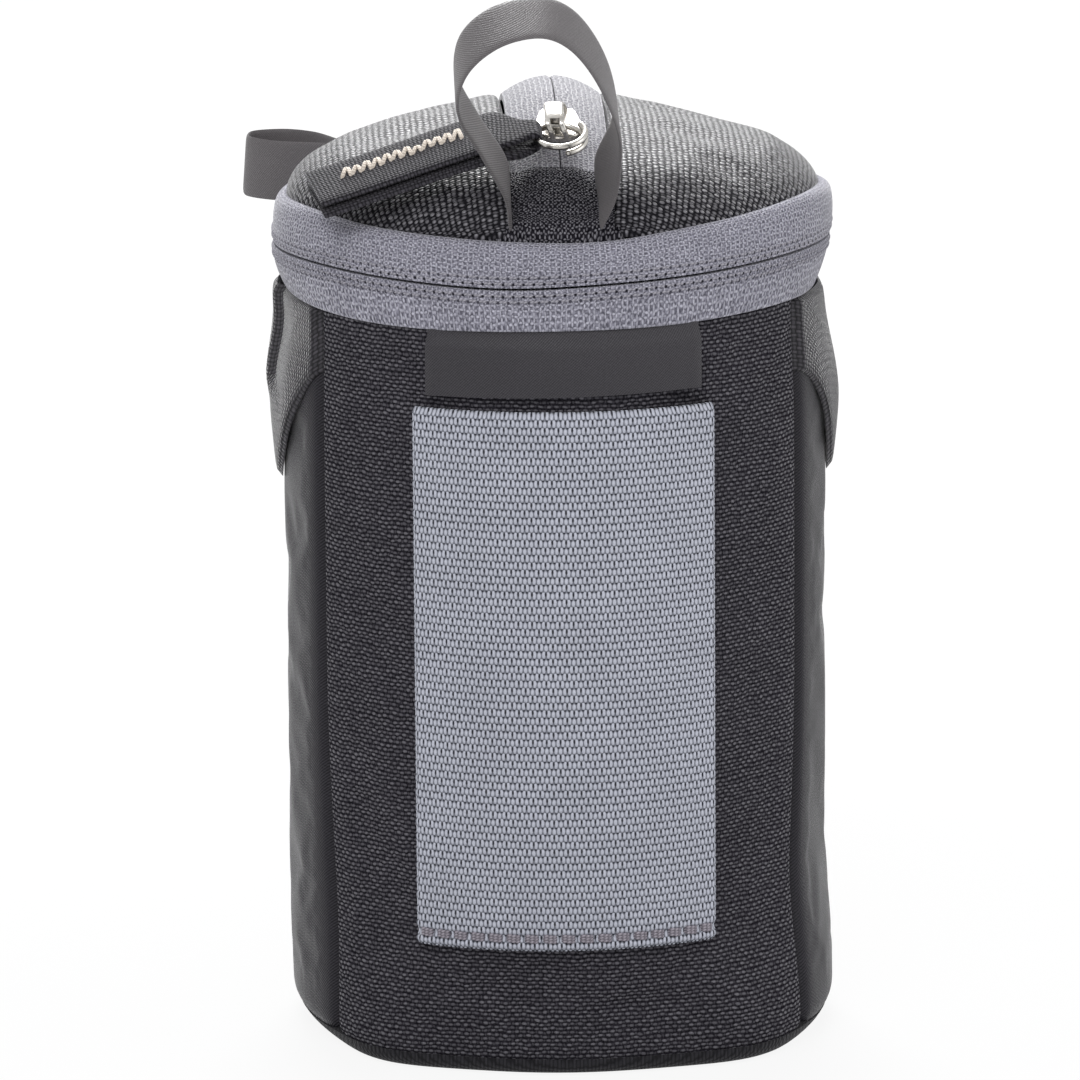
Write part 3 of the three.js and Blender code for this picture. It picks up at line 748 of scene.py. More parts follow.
def wall_panel(name, middle, on_seams, material, seed, columns):
    """Panel round a middle angle; front and back reach to the seams, the sides lie between them."""
    even = np.linspace(-1, 1, columns + 1)
    crowded = 0.4 * even + 0.6 * np.sin(even * math.pi / 2)
    share, level = grid(crowded, np.linspace(PANEL_FOOT, PANEL_TOP, 85))
    half = seam_angle(level) if on_seams else 90 - seam_angle(level)
    angle = middle + share * half
    side = (1 - np.abs(share)) * np.radians(half) * BODY_R
    hem = PANEL_HEM * bell(level, PANEL_FOOT, HEM_WIDTH)
    groove = sum(depth * bell(side, 0, width) for depth, width in SEAM_GROOVES)
    radius = foot_radius(level, angle) - PANEL_SINK - groove - hem - waist(angle, level)
    points = polar(radius, angle, level)
    free = ease(side, 0.5, 7) * ease(level - PANEL_FOOT, 1, 10) * ease(PANEL_TOP - level, 2, 10)
    fold = wave(points * [1, 1, 0.12], seed, 18) * WALL_UNEVENNESS * free
    points = points + outward(points) * fold[..., None]
    return soft_grid(name, points, pair(np.radians(angle) * BODY_R, level), free, material)


# Lid panels: name, side, seed and solid
LIDS = (("lid_right", 1, 13, "lid_right_panel"), ("lid_left", -1, 17, "lid_left_panel"))
# Swell of a lid panel beside the crown strip and dip further out: distance from its edge, width and rise
LID_SWELL = ((1.2, 3.5, 1.0), (6, 5, 0.4), (21, 7, -0.6))
LID_UNEVENNESS = 0.2
# Hem of the inner edge, turned down: shift across, drop, and shift of the cloth
LID_HEM = ((-0.35, -2.0, -2.0), (-0.4, -0.7, -0.7))


def dome(reach):
    share = np.clip(reach / DOME_REACH, 0, 1)
    return DOME_FOOT + LID_RISE * (1 - share ** 2) ** DOME_SHOULDER


def lid_panel(name, side, seed):
    """Half of the dome, from the crown strip to the zip band; its cloth is measured over the dome."""
    inner_edge = CROWN_HALF + 0.35
    half_run = math.sqrt(DOME_REACH ** 2 - inner_edge ** 2) - 0.2
    run, step = grid(np.sin(np.linspace(-1, 1, 73) * math.pi / 2), 1 - (1 - np.linspace(0, 1, 37)) ** 1.7)
    y = run * half_run
    rim = np.sqrt(DOME_REACH ** 2 - y ** 2)
    x = inner_edge + (rim - inner_edge) * step
    reach = np.hypot(x, y)
    points = np.stack([x, y, dome(reach)], axis=-1)
    steps = np.linspace(0, DOME_REACH, 400)
    arc = lengths_along(pair(steps, dome(steps)))
    cloth = pair(x, y) * (np.interp(reach, steps, arc) / reach)[..., None]
    hem = np.stack([points[:, 0] + [shift, 0, drop] for shift, drop, _ in LID_HEM], axis=1)
    cloth = np.concatenate([*[cloth[:, :1] + [shift, 0] for _, _, shift in LID_HEM], cloth], axis=1)
    points = np.concatenate([hem, points], axis=1)
    in_hem = np.zeros_like(hem[..., 0])
    edge = np.concatenate([in_hem, x - inner_edge], axis=1)
    free = ease(edge, 1.5, 9) * np.concatenate([in_hem, ease(rim - x, 1, 8)], axis=1)
    swell = sum(rise * bell(edge, middle, width) for middle, width, rise in LID_SWELL)
    swell[:, :len(LID_HEM)] = 0
    points[..., 2] += swell + wave(points, seed, 18) * LID_UNEVENNESS * free
    points[..., 0] *= side
    if side < 0:
        points, cloth, free = points[::-1], cloth[::-1], free[::-1]
    return soft_grid(name, points, cloth, free, LID_CLOTH)


# Padding: settings of the cloth, and how far the walls and the lid may puff out
PADDING = {"quality": 6, "mass": 0.05, "tension_stiffness": 12, "compression_stiffness": 12,
           "shear_stiffness": 6, "bending_stiffness": 2.0, "air_damping": 4, "vertex_group_mass": "sewn",
           "pin_stiffness": 1, "shrink_min": -0.004, "use_pressure": True, "uniform_pressure_force": 1.0}
PADDING_FRAMES = 18
WALL_PUFF = 1.1
LID_PUFF = 0.5


def pad_out(pieces, cap):
    """Blow the cloth out between its sewn edges, by no more than cap, and keep the result as the mesh."""
    rest = {obj: mesh_points(obj.data) for obj in pieces}
    for obj in pieces:
        cloth = obj.modifiers.new("padding", "CLOTH")
        for key, value in PADDING.items():
            setattr(cloth.settings, key, value)
        cloth.settings.effector_weights.gravity = 0
        cloth.collision_settings.use_collision = False
        cloth.point_cache.frame_end = PADDING_FRAMES
    scene = bpy.context.scene
    for step in range(1, PADDING_FRAMES + 1):
        scene.frame_set(step)
    graph = bpy.context.evaluated_depsgraph_get()
    for obj in pieces:
        move = mesh_points(obj.evaluated_get(graph).data) - rest[obj]
        size = np.linalg.norm(move, axis=1, keepdims=True)
        soft = cap * MM * np.tanh(size / (cap * MM)) / np.maximum(size, 1e-12)
        obj.modifiers.clear()
        obj.data.vertices.foreach_set("co", (rest[obj] + move * soft).ravel())
    scene.frame_set(1)


walls = [wall_panel(*row[:-1]) for row in WALLS]
lids = [lid_panel(*row[:-1]) for row in LIDS]
pad_out(walls, WALL_PUFF)
pad_out(lids, LID_PUFF)
for panel in walls + lids:
    panel.vertex_groups.clear()
    smooth = panel.modifiers.new("smooth", "SUBSURF")
    smooth.levels = smooth.render_levels = 1
    skin = panel.modifiers.new("skin", "SOLIDIFY")
    skin.thickness = SKIN * MM
    skin.offset = -1
for panel, row in zip(walls, WALLS):
    place(panel, "case_body", "black_cloth", row[-1])
for panel, row in zip(lids, LIDS):
    place(panel, "lid", "lid_cloth", row[-1])

# Sole of the base: share of its radius and height; then shares of the radius over the top
SOLE = ((0.0, 0.5), (0.3, 0.35), (0.6, 0.2), (0.85, 0.05), (0.97, 0.0))
BASE_TOP = (0.93, 0.5, 0.0)


def base_piece():
    """Sole with a rolled edge that runs up to the wall panels."""
    turn = np.linspace(0, 360, 180, endpoint=False)[:, None]
    edge = foot_edge(turn)
    wall = foot_radius(60.0, turn) + foot_radius(edge, turn) - BODY_R
    bend = np.linspace(0.06, 1, 11) * np.arccos(1 - (PANEL_FOOT + 0.5) / edge)
    reach = wall - edge + edge * np.sin(bend) - 0.6
    level = edge * (1 - np.cos(bend))
    sole_share, sole_level = np.array(SOLE).T
    reach = np.hstack([reach[:, :1] * sole_share, reach, reach[:, -1:] * np.array(BASE_TOP)])
    top_level = np.full((len(turn), len(BASE_TOP)), PANEL_FOOT + 0.7)
    level = np.hstack([np.tile(sole_level, (len(turn), 1)), level, top_level])
    loops = polar(reach, turn, level)
    return loft("base", loops, loops[..., :2], BASE_CLOTH, closed=True)


base = base_piece()
place(base, "case_body", "black_cloth", "base_panel")

# Inside of the body: lining, floor and bound rim
FLOOR_R = 35.2


def lining_piece():
    """Cloth tube inside the wall, a little slack."""
    angle = np.linspace(0, 360, 144, endpoint=False)[:, None]
    level = np.linspace(FLOOR_Z - 0.5, BINDING_TOP - 0.4, 60)
    outer = polar(LINING_R + 0.7, angle, level)
    inner = polar(LINING_R + 0.25 * np.sin(level * 0.21), angle, level)
    inner = inner + outward(inner) * (wave(inner, 23, 26) * 0.25)[..., None]
    loops = np.concatenate([inner, outer[:, ::-1]], axis=1)
    cloth = pair(np.radians(angle) * LINING_R, np.concatenate([level, level[::-1]]))
    return loft("lining", loops, cloth, LINING, closed=True)


lining = lining_piece()
place(lining, "case_body", "lining", "wall_lining", "wall_foam")
inner_floor = turned("inner_floor", [
    (0, FLOOR_Z), (15, FLOOR_Z), (28, FLOOR_Z - 0.05), (33.5, FLOOR_Z - 0.2), (FLOOR_R, FLOOR_Z - 0.7),
    (34.5, FLOOR_Z - 1.1), (0, FLOOR_Z - 1.1)], LINING)
place(inner_floor, "case_body", "lining", "base_lining", "base_foam")
binding = turned("rim_edge", rounded([
    (LINING_R - 0.1, BINDING_TOP - 2.2), (LINING_R - 0.15, BINDING_TOP - 0.3), (LINING_R + 1.2, BINDING_TOP),
    (BODY_R - 2.8, BINDING_TOP), (BODY_R - 1.5, BINDING_TOP - 0.4), (BODY_R - 1.6, BINDING_TOP - 1.1),
    (LINING_R + 1.0, BINDING_TOP - 1.0), (LINING_R + 0.7, BINDING_TOP - 2.2)]), BLACK_WEBBING)
place(binding, "case_body", "black_webbing", "rim_binding")

# Rim zip: humps of the band at its zip line, top and foot (angle, width and rise)
ZIP_HUMPS = ((-60, 40, 1.4), (12, 16, -0.5), (58, 18, 0.35))
TOP_HUMPS = ((-70, 26, 0.9), (-8, 14, -0.8), (70, 18, 0.7))
FOOT_HUMPS = ((-50, 22, 0.4), (40, 26, -0.6))
ZIP_MARGIN = 1.5
ZIP_LIP = 0.17
LABEL_BULGE = 0.5
BULGE_HALF_ANGLE = 31
BULGE_RISE = 3.5
# One stitch of the band: share of the pitch along it and rise from the tape
BAND_STITCH = ((-0.36, -0.25), (-0.3, 0.02), (-0.1, 0.1), (0.1, 0.1), (0.3, 0.02), (0.36, -0.25))
COIL_TURNS = 150
COIL_WIRE = 0.24


def rim_lift(angle, level):
    """Rise of the soft zip band: up at the right, sunk before the crown strip, low at the left foot."""
    turn = apart(angle, 0)
    at_zip, at_top, at_foot = (sum(rise * bell(turn, middle, width) for middle, width, rise in rows)
                               for rows in (ZIP_HUMPS, TOP_HUMPS, FOOT_HUMPS))
    above = ease(level, ZIP_Z + ZIP_MARGIN, BAND_TOP)
    below = ease(ZIP_Z - level, ZIP_MARGIN, ZIP_Z - BAND_BOTTOM)
    return at_zip * (1 - below) + at_top * above + at_foot * below


def rim_tape(name, outline, seed):
    """Closed outline in radius and height, carried round the body along the zip."""
    shape = rounded(outline)
    angles = np.linspace(ZIP_START, ZIP_END, 205)[:, None]
    level = shape[:, 1]
    over_label = LABEL_BULGE * np.exp(-(angles / BULGE_HALF_ANGLE) ** 4)
    over_label = over_label * ease(BAND_BOTTOM + BULGE_RISE - level, 0, BULGE_RISE)
    reach = shape[:, 0] + over_label - waist(angles, level)
    loops = polar(reach, angles, level + rim_lift(angles, level))
    loops = loops + outward(loops) * (0.12 * wave(loops, seed, 30))[..., None]
    cloth = pair(np.radians(angles) * TAPE_OUT, level - ZIP_Z + TAPE_OUT - shape[:, 0])
    return loft(name, loops, cloth, ZIP_TAPE)


def rim_stitches(name, sign):
    along, rise = np.array(BAND_STITCH).T
    pitch = math.degrees(STITCH_PITCH / TAPE_OUT)
    lines = []
    for number, row in enumerate(STITCH_ROWS):
        level = ZIP_Z + sign * row
        for step in range(int((ZIP_END - ZIP_START) / pitch)):
            turns = ZIP_START + (step + 0.5 + 0.5 * number + along) * pitch
            reach = TAPE_OUT - 0.18 + rise - waist(turns, level)
            lines.append(polar(reach, turns, level + rim_lift(turns, level)))
    return threads(name, lines, 0.2, BAND_THREAD, sides=5)


def coil_sway(turns, sign):
    """Distance of a coil's wire from the zip line, and its rise."""
    phase = np.linspace(0, turns * 2 * math.pi, turns * 10) + (0 if sign > 0 else math.pi)
    return sign * (1.25 - 1.15 * np.cos(phase)), 0.26 * np.sin(phase)


def rim_coil(name, sign):
    aside, rise = coil_sway(COIL_TURNS, sign)
    turns = np.linspace(ZIP_START, ZIP_END, len(aside))
    reach = TAPE_IN - 0.62 + rise - waist(turns, ZIP_Z)
    line = polar(reach, turns, ZIP_Z + aside + rim_lift(turns, ZIP_Z))
    return threads(name, [line], COIL_WIRE, COIL, sides=5)


lower_tape = rim_tape("lower_tape", [
    (TAPE_IN - 0.3, ZIP_Z - ZIP_LIP), (TAPE_OUT - 0.25, ZIP_Z - ZIP_LIP), (TAPE_OUT - 0.15, ZIP_Z - 0.4),
    (TAPE_OUT - 0.15, ZIP_Z - 2), (TAPE_OUT - 0.5, ZIP_Z - 4), (TAPE_OUT - 1.25, BAND_BOTTOM + 0.7),
    (TAPE_OUT - 1.55, BAND_BOTTOM), (TAPE_OUT - 1.95, BAND_BOTTOM), (TAPE_IN - 0.7, ZIP_Z - 4)], 29)
upper_tape = rim_tape("upper_tape", [
    (TAPE_IN - 0.3, ZIP_Z + ZIP_LIP), (TAPE_OUT - 0.25, ZIP_Z + ZIP_LIP), (TAPE_OUT - 0.15, ZIP_Z + 0.4),
    (TAPE_OUT - 0.15, ZIP_Z + 3), (TAPE_OUT - 0.3, BAND_TOP - 2.6), (TAPE_OUT - 0.7, BAND_TOP - 0.9),
    (TAPE_OUT - 1.7, BAND_TOP - 0.1), (TAPE_OUT - 2.8, BAND_TOP - 0.2), (TAPE_OUT - 2.9, BAND_TOP - 1.4),
    (TAPE_OUT - 1.9, BAND_TOP - 1.9), (TAPE_IN - 0.05, BAND_TOP - 3.4)], 31)
place(lower_tape, "case_body", "zip_tape", "lower_zip_tape")
place(upper_tape, "lid", "zip_tape", "upper_zip_tape")
place(rim_stitches("lower_stitches", -1), "case_body", "zip_tape")
place(rim_stitches("upper_stitches", 1), "lid", "zip_tape")
place(rim_coil("lower_coil", -1), "case_body", "zip_coil", "lower_zip_coil")
place(rim_coil("upper_coil", 1), "lid", "zip_coil", "upper_zip_coil")

# Cloth hinge at the back: how far its top rolls inwards
HINGE_ROLL = 1.6


def hinge_piece():
    angle, level = grid(np.linspace(180 - HINGE_HALF, 180 + HINGE_HALF, 49),
                        np.linspace(BAND_BOTTOM, BAND_TOP - 0.1, 33))
    roll = ease(level, BAND_TOP - 3.0, BAND_TOP)
    crease = bell(level, ZIP_Z, 1.2)
    outer = polar(TAPE_OUT - 0.15 - HINGE_ROLL * roll - 0.35 * crease, angle, level)
    inner = polar(TAPE_OUT - 1.25 - HINGE_ROLL * roll - 0.1 * crease, angle, level - 0.3 * roll)
    return slab("hinge", outer, inner, pair(np.radians(angle) * TAPE_OUT, level), TAB_CLOTH)


hinge = hinge_piece()
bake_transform(hinge)
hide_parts("hinge_panel")

# Underside of the lid
lid_under = turned("lid_under", spline([
    (0, ZIP_Z + 3.2), (12, ZIP_Z + 3.1), (24, ZIP_Z + 2.8), (36, ZIP_Z + 2.6), (40.2, ZIP_Z + 3.0),
    (41.0, ZIP_Z + 4.2), (40.4, ZIP_Z + 5.8), (30, ZIP_Z + 6.4), (0, ZIP_Z + 6.6)], 40), LINING)
place(lid_under, "lid", "lining", "lid_lining", "lid_foam")

# Crown zip
CROWN_TAPE_THICKNESS = 1.0
CROWN_COIL_SINK = 1.65
CROWN_COIL_PITCH = 1.5


def crown_surface(x, turn, sink):
    """Point on the crown strip: x across, turn towards the back, sink below the surface."""
    reach = CROWN_R - CROWN_ARCH * (np.abs(x) / CROWN_HALF) ** 2 - sink
    angle = np.radians(turn)
    return np.stack(np.broadcast_arrays(x, reach * np.sin(angle), CROWN_C + reach * np.cos(angle)), axis=-1)


def crown_tape(name, side):
    turn, x = grid(np.linspace(-CROWN_END, CROWN_END, 61), side * np.linspace(CROWN_SLIT, CROWN_HALF, 15))
    outer = crown_surface(x, turn, 0.3 * bell(np.abs(x), CROWN_SLIT, 0.25))
    inner = crown_surface(x, turn, CROWN_TAPE_THICKNESS)
    return slab(name, outer, inner, pair(x, np.radians(turn) * CROWN_R), CROWN_TAPE)


def crown_coil(name, side):
    turns = int(2 * math.radians(CROWN_END) * CROWN_R / CROWN_COIL_PITCH)
    x, rise = coil_sway(turns, side)
    turn = np.linspace(-CROWN_END + 1, CROWN_END - 1, len(x))
    return threads(name, [crown_surface(x, turn, CROWN_COIL_SINK + rise)], COIL_WIRE, COIL, sides=5)


place(crown_tape("crown_right", 1), "lid", "zip_tape", "crown_tape_right")
place(crown_tape("crown_left", -1), "lid", "zip_tape", "crown_tape_left")
place(crown_coil("crown_coil_a", 1), "lid", "zip_coil", "crown_coil_right")
place(crown_coil("crown_coil_b", -1), "lid", "zip_coil", "crown_coil_left")

# End covers of the crown strip: half angle, turn of the front one to the left, height over the lid panels
COVER_HALF_ANGLE = 14.5
FRONT_COVER_TURN = 1.67
COVER_RISE = 0.55


def end_cover(name, node, shift):
    """Cloth over the end of the strip: it stands up in its middle and lies on the lid panels at its sides."""
    places = corners(node)
    near, far = radii(node)
    low, top = heights(node)
    sign = -1 if places[:, 1].mean() < 0 else 1
    profile = spline([(near - 1.4, top + 0.35), (near + 0.6, top - 0.1), (far - 2.8, top - 2.3),
                      (far - 0.8, (top + low) / 2), (far + 0.4, low + 0.8),
                      (DOME_REACH + 0.1, DOME_FOOT - 0.3)], 31)
    spread = np.linspace(-COVER_HALF_ANGLE, COVER_HALF_ANGLE, 45)[:, None]
    aside = np.abs(spread / COVER_HALF_ANGLE)
    swing = np.radians(spread + shift)
    radius = profile[:, 0] + 0.25 * (1 - aside ** 2)
    lying = dome(radius) + COVER_RISE * (1 - ease(radius, DOME_REACH - 0.6, DOME_REACH))
    standing = np.maximum(profile[:, 1], lying)
    level = standing + (lying - standing) * ease(aside, 0.3, 0.72) - 0.35 * ease(aside, 0.85, 1.0)
    outer = np.stack([-radius * np.sin(swing), sign * radius * np.cos(swing), level], axis=-1)
    inner = outer - outward(outer) * 0.6 - np.array([0, 0, 0.8])
    return slab(name, outer, inner, pair(np.radians(spread) * far, lengths_along(profile)), TAB_CLOTH)


place(end_cover("front_cover", "crown_front_tab", FRONT_COVER_TURN), "lid", "black_cloth", "crown_front_tab")
place(end_cover("rear_cover", "crown_rear_tab", 0.0), "lid", "black_cloth", "crown_rear_tab")

# Ribbon loop on the lid: half width of its foot, height, and path in shares of these
LOOP_BASE = 6.9
LOOP_HEIGHT = 37.8
LOOP_PATH = ((-1, 0), (-1.12, 0.17), (-1.68, 0.39), (-2.19, 0.61), (-2.06, 0.81), (-1.38, 0.95), (-0.46, 1),
             (0.22, 0.948), (0.78, 0.805), (1.2, 0.605), (1.36, 0.4), (1.13, 0.17), (1, 0))
LOOP_UP = np.array([0, -0.5, 0.866])
LOOP_ACROSS = np.array([0, 0.866, 0.5])
# Twists of the ribbon: place as a share of its length, width and lean
LOOP_TWISTS = ((0.09, 0.07, 0.08), (0.935, 0.065, -0.32))
# Small loop at the side: angle, length, half width, and path in shares of these
SIDE_TURN = 133.0
SIDE_LENGTH = 19.2
SIDE_HALF = 5.0
SIDE_PATH = ((0, -0.16), (0.2, -0.5), (0.55, -1), (0.85, -0.85), (1, 0),
             (0.85, 0.85), (0.55, 1), (0.2, 0.5), (0, 0.16))


def ribbon(name, line, across, body, node):
    loop = band(name, line, across, RIBBON_WIDTH, RIBBON_THICKNESS, RIBBON, columns=15)
    place(loop, body, "ribbon", node)


def lid_ribbon():
    foot = joint_place("lid_loop_flex")
    line = spline([foot + [LOOP_BASE * a, 0, 0] + LOOP_UP * LOOP_HEIGHT * b for a, b in LOOP_PATH], 140)
    share = np.linspace(0, 1, len(line))
    twist = sum(lean * bell(share, middle, width) for middle, width, lean in LOOP_TWISTS)
    lean = 0.12 * wave(line, 41, 34) + twist
    ribbon("lid_ribbon", line, LOOP_ACROSS + lean[:, None] * [1, 0, 0], "lid_loop", "lid_grab_loop")


def side_ribbon():
    out = polar(1.0, SIDE_TURN, 0.0)
    along = polar(1.0, SIDE_TURN + 90, 0.0)
    root = polar(TAPE_OUT + 0.9, SIDE_TURN, sum(heights("side_grab_loop")) / 2 - 0.5)
    line = spline([root + out * SIDE_LENGTH * a + along * SIDE_HALF * b for a, b in SIDE_PATH], 70)
    tilt = np.array([0, 0, 1.0]) - out * 0.13 + wave(line, 43, 25)[:, None] * 0.06
    ribbon("side_ribbon", line, tilt, "side_loop", "side_grab_loop")


lid_ribbon()
side_ribbon()

# Front webbing, its foot stitches and the label
BELT_ARC = 2 * math.radians(BELT_HALF_ANGLE) * (BODY_R + 0.3)
BELT_OUT, BELT_IN = 1.55, 0.25
BELT_BOW = 0.9
EDGE_ROUND, TOP_ROUND, FOOT_EDGE_ROUND = 0.55, 0.8, 0.5
EDGE_JAG = 0.07
YARN_RELIEF = 0.13
STITCH_SINK = 0.45
STITCH_LEVEL = BELT_BOTTOM + 2.1
STITCH_SHARE = 0.024
STITCH_COUNT = 17
STITCH_HUMP = np.array([-0.7, 0.05, 0.32, 0.4, 0.42, 0.4, 0.32, 0.05, -0.7])
LABEL_LAP = 0.3
LABEL_HEIGHT = LABEL_TOP - LABEL_BOTTOM + LABEL_LAP
LABEL_OUT, LABEL_IN = 1.0, 0.35
LABEL_PUFF = 0.35
LABEL_HEM = 0.22
LABEL_TUCK = 0.95
LABEL_SLANT = 0.35


def yarn_relief(u, v):
    """Height of the webbing's yarns over a grid, between about -1 and 1."""
    row = v / WEB_PITCH[1]
    number = np.floor(row)
    rise = row - number - 0.5
    half = WEB_GROUP / 2
    aside = np.abs(np.mod(u / WEB_PITCH[0] + half * np.mod(number, 2) + half, WEB_GROUP) - half)

    def ovals(spots):
        return np.max([1 - ease(((aside - at[0]) / size[0]) ** 2 + ((rise - at[1]) / size[1]) ** 2, 0, 1.3)
                       for at, size in spots], axis=0)

    return ovals(WEB_FLOATS) - ovals(WEB_SLITS)


def belt_bow(share, turn):
    """How far the webbing bows off the wall between its sewn foot and its top."""
    upright = np.sin(math.pi * np.clip(share, 0, 1)) ** 0.5
    return BELT_BOW * upright * np.cos(math.pi / 2 * turn / BELT_HALF_ANGLE)


def front_webbing():
    turn, level = grid(np.linspace(-BELT_HALF_ANGLE, BELT_HALF_ANGLE, 361),
                       np.linspace(BELT_BOTTOM, BELT_TOP, 301))
    u = turn / BELT_HALF_ANGLE * BELT_ARC / 2
    edge = BELT_ARC / 2 - np.abs(u)
    relief = YARN_RELIEF * yarn_relief(u, level) * ease(edge, 0, 0.5)
    relief -= STITCH_SINK * bell(level, STITCH_LEVEL, 0.6)
    bow = belt_bow((level - BELT_BOTTOM) / (BELT_TOP - BELT_BOTTOM), turn)
    edge_round = EDGE_ROUND * (1 - ease(edge, 0, 0.9))
    fold_round = TOP_ROUND * (1 - ease(BELT_TOP - level, 0, 1.2))
    fold_round += FOOT_EDGE_ROUND * (1 - ease(level - BELT_BOTTOM, 0, 0.7))
    jag = EDGE_JAG * np.sin(math.pi * level / WEB_PITCH[1]) * (1 - ease(edge, 0, 2))
    reach = BODY_R + BELT_OUT + bow + relief - edge_round - fold_round
    outer = polar(reach, turn + np.sign(turn) * np.degrees(jag / BODY_R), level)
    inner = polar(BODY_R + BELT_IN + bow * 0.8, turn, level)
    return slab("front_webbing", outer, inner, pair(u, level), GREY_WEBBING, SHARP_RELIEF)


def foot_stitches():
    """One row of long stitches, each of three threads side by side."""
    lines = []
    for number in range(STITCH_COUNT):
        ends = (BELT_HALF_ANGLE - 0.8) * (2 * np.array([number + 0.08, number + 0.92]) / STITCH_COUNT - 1)
        turns = np.linspace(*ends, len(STITCH_HUMP))
        reach = BODY_R + 1.2 + belt_bow(STITCH_SHARE, turns) + STITCH_HUMP
        lean = np.linspace(-0.12, 0.12, len(STITCH_HUMP))
        for offset in (-0.42, 0.0, 0.42):
            lines.append(polar(reach, turns, STITCH_LEVEL + offset + lean))
    return threads("webbing_stitches", lines, 0.26, WEBBING_THREAD)


def label_piece():
    turn, level = grid(np.linspace(-LABEL_HALF_ANGLE, LABEL_HALF_ANGLE, 65),
                       np.linspace(LABEL_BOTTOM, LABEL_TOP + LABEL_LAP, 25))
    edge = np.radians(LABEL_HALF_ANGLE - np.abs(turn)) * BODY_R
    puff = LABEL_PUFF * np.sin(math.pi * (level - LABEL_BOTTOM) / LABEL_HEIGHT) * ease(edge, 0, 4)
    hem = LABEL_HEM * bell(edge, 1.1, 0.9)
    tuck = LABEL_TUCK * ease(level, LABEL_TOP - 2.6, LABEL_TOP)
    slant = level - LABEL_SLANT * turn / LABEL_HALF_ANGLE
    outer = polar(BODY_R + LABEL_OUT + puff + hem - tuck, turn, slant)
    inner = polar(BODY_R + LABEL_IN - 0.6 * tuck, turn, slant)
    return slab("label", outer, inner, pair(np.radians(turn) * BODY_R, level), LABEL)


belt = front_webbing()
place(belt, "case_body", "grey_webbing", "belt_webbing")
place(foot_stitches(), "case_body", "grey_webbing")
label = label_piece()
place(label, "case_body", "satin", "name_label")

# Webbing loops at the sides
LOOP_START = SEAM_TOP - 0.3
LOOP_TIP = 87.8
TIP_ROUND = 0.1


def side_webbing(name, node, sign, edge_top, slope, lift, late):
    """Loop that comes out of the front seam under the band, sags round the side and goes into the back seam.

    Its lower edge falls from edge_top to the tip, more hollow with a larger slope. It stands off the wall by
    lift, and its upper part leaves the wall late, by that many degrees.
    """
    turn, across = grid(np.linspace(LOOP_START, 180 - LOOP_START, 111), np.linspace(-1, 1, 27))
    from_middle = np.hypot((turn - 90) / (90 - LOOP_START), TIP_ROUND)
    share = np.cos(math.pi / 2 * np.clip(from_middle, 0, 1))
    low = edge_top - (edge_top - LOOP_TIP) * np.clip((1 - from_middle) / (1 - TIP_ROUND), 0, 1) ** slope
    high = BAND_BOTTOM - 0.15
    level = low + (high - low) * (across + 1) / 2
    from_seam = np.minimum(turn - LOOP_START, 180 - LOOP_START - turn)
    out_of_seam = ease(from_seam, 0, 2.5)
    free = ease(from_seam, 0, 16)
    edge = np.sqrt(np.clip(1 - np.abs(across) ** 10, 0, 1))
    upper = ease(level, 100, 105)
    leave = (turn - 73 - late * upper) / (14 - 0.7 * late * upper)
    full = lift * (1 - late / 30 * (1 - upper)) * (1 - ease(-across, 0.1, 1))
    stand = full * ease(leave, 0, 1) * (1 - ease(turn, 100, 117))
    ridge = 0.2 * bell(turn + 20 * (across - 0.75), 69, 1.3) * bell(across, 0.58, 0.22)
    inside = BODY_R - 1.9 + 1.2 * out_of_seam + 0.9 * free + stand
    inside = inside - 0.6 * ease(across, -0.4, 1) * share - waist(sign * turn, level)
    outside = inside + (0.5 + 0.3 * out_of_seam + 0.4 * free) * edge + ridge * free
    loop = slab(name, polar(outside, sign * turn, level), polar(inside, sign * turn, level),
                pair(level - low, np.radians(turn) * BODY_R), LOOP_WEBBING)
    place(loop, "case_body", "black_webbing", node)


side_webbing("left_webbing", "side_loop_left", sign=1, edge_top=108.5, slope=1.13, lift=1.6, late=15)
side_webbing("right_webbing", "side_loop_right", sign=-1, edge_top=107.5, slope=1.65, lift=0.9, late=0)

# Sliders, rings and pulls; a slider's outline is given on one side, along and across the zip
SHIELD_SHIFT = -0.8
SHIELD = ((-6.4, 2.6), (-4.8, 3.0), (-1.5, 3.6), (1.2, 3.5), (2.5, 2.2), (2.9, 0.8))
NECK = ((1.6, 0.2), (2.6, 0.2))
# Plates of a slider: name, outline, bottom and top over its seat, rounding of its edges
SLIDER_PLATES = (("_top", SHIELD, 0.15, 1.25, 0.3), ("_under", SHIELD, -3.6, -2.75, 0.3),
                 ("_neck", NECK, -3.2, 0.6, 0.08))
# Arch of the bail over the slider's seat; then its plate and two legs: place, width, first and last point
BAIL_ARCH = ((-6.4, 0.9), (-5.8, 2.5), (-4.0, 3.35), (-1.5, 3.6), (0.7, 3.4), (1.7, 2.5), (1.75, 1.0))
BAIL_PARTS = ((0.0, 3.1, 0, 30), (-1.05, 0.9, 28, 40), (1.05, 0.9, 28, 40))
BAIL_THICKNESS = 1.0
RING_WIRE = 0.52
RING_START, RING_END = 190, 670
RING_PITCH = 1.3
STRAP_WIDTH = 12.0
STRAP_NECK = 4.8
STRAP_THICKNESS = 1.05
LAYER_HALF = 0.62
NECK_OPENING = 0.5
LAYER = 90
FOLD_R = 1.12
FOLD_STEPS = 13
# Zigzag seam: start and end as shares of the pull, points, swing, unevenness and place of its two plies
ZIGZAG = (0.29, 0.87)
ZIGZAG_POINTS = 25
ZIGZAG_SWING = 1.7
ZIGZAG_NOISE = 0.22
ZIGZAG_PLIES = (-0.13, 0.13)
ZIGZAG_LIFT = 0.45 + np.array([-0.2, 0.16, 0.22, 0.22, 0.16, -0.2])
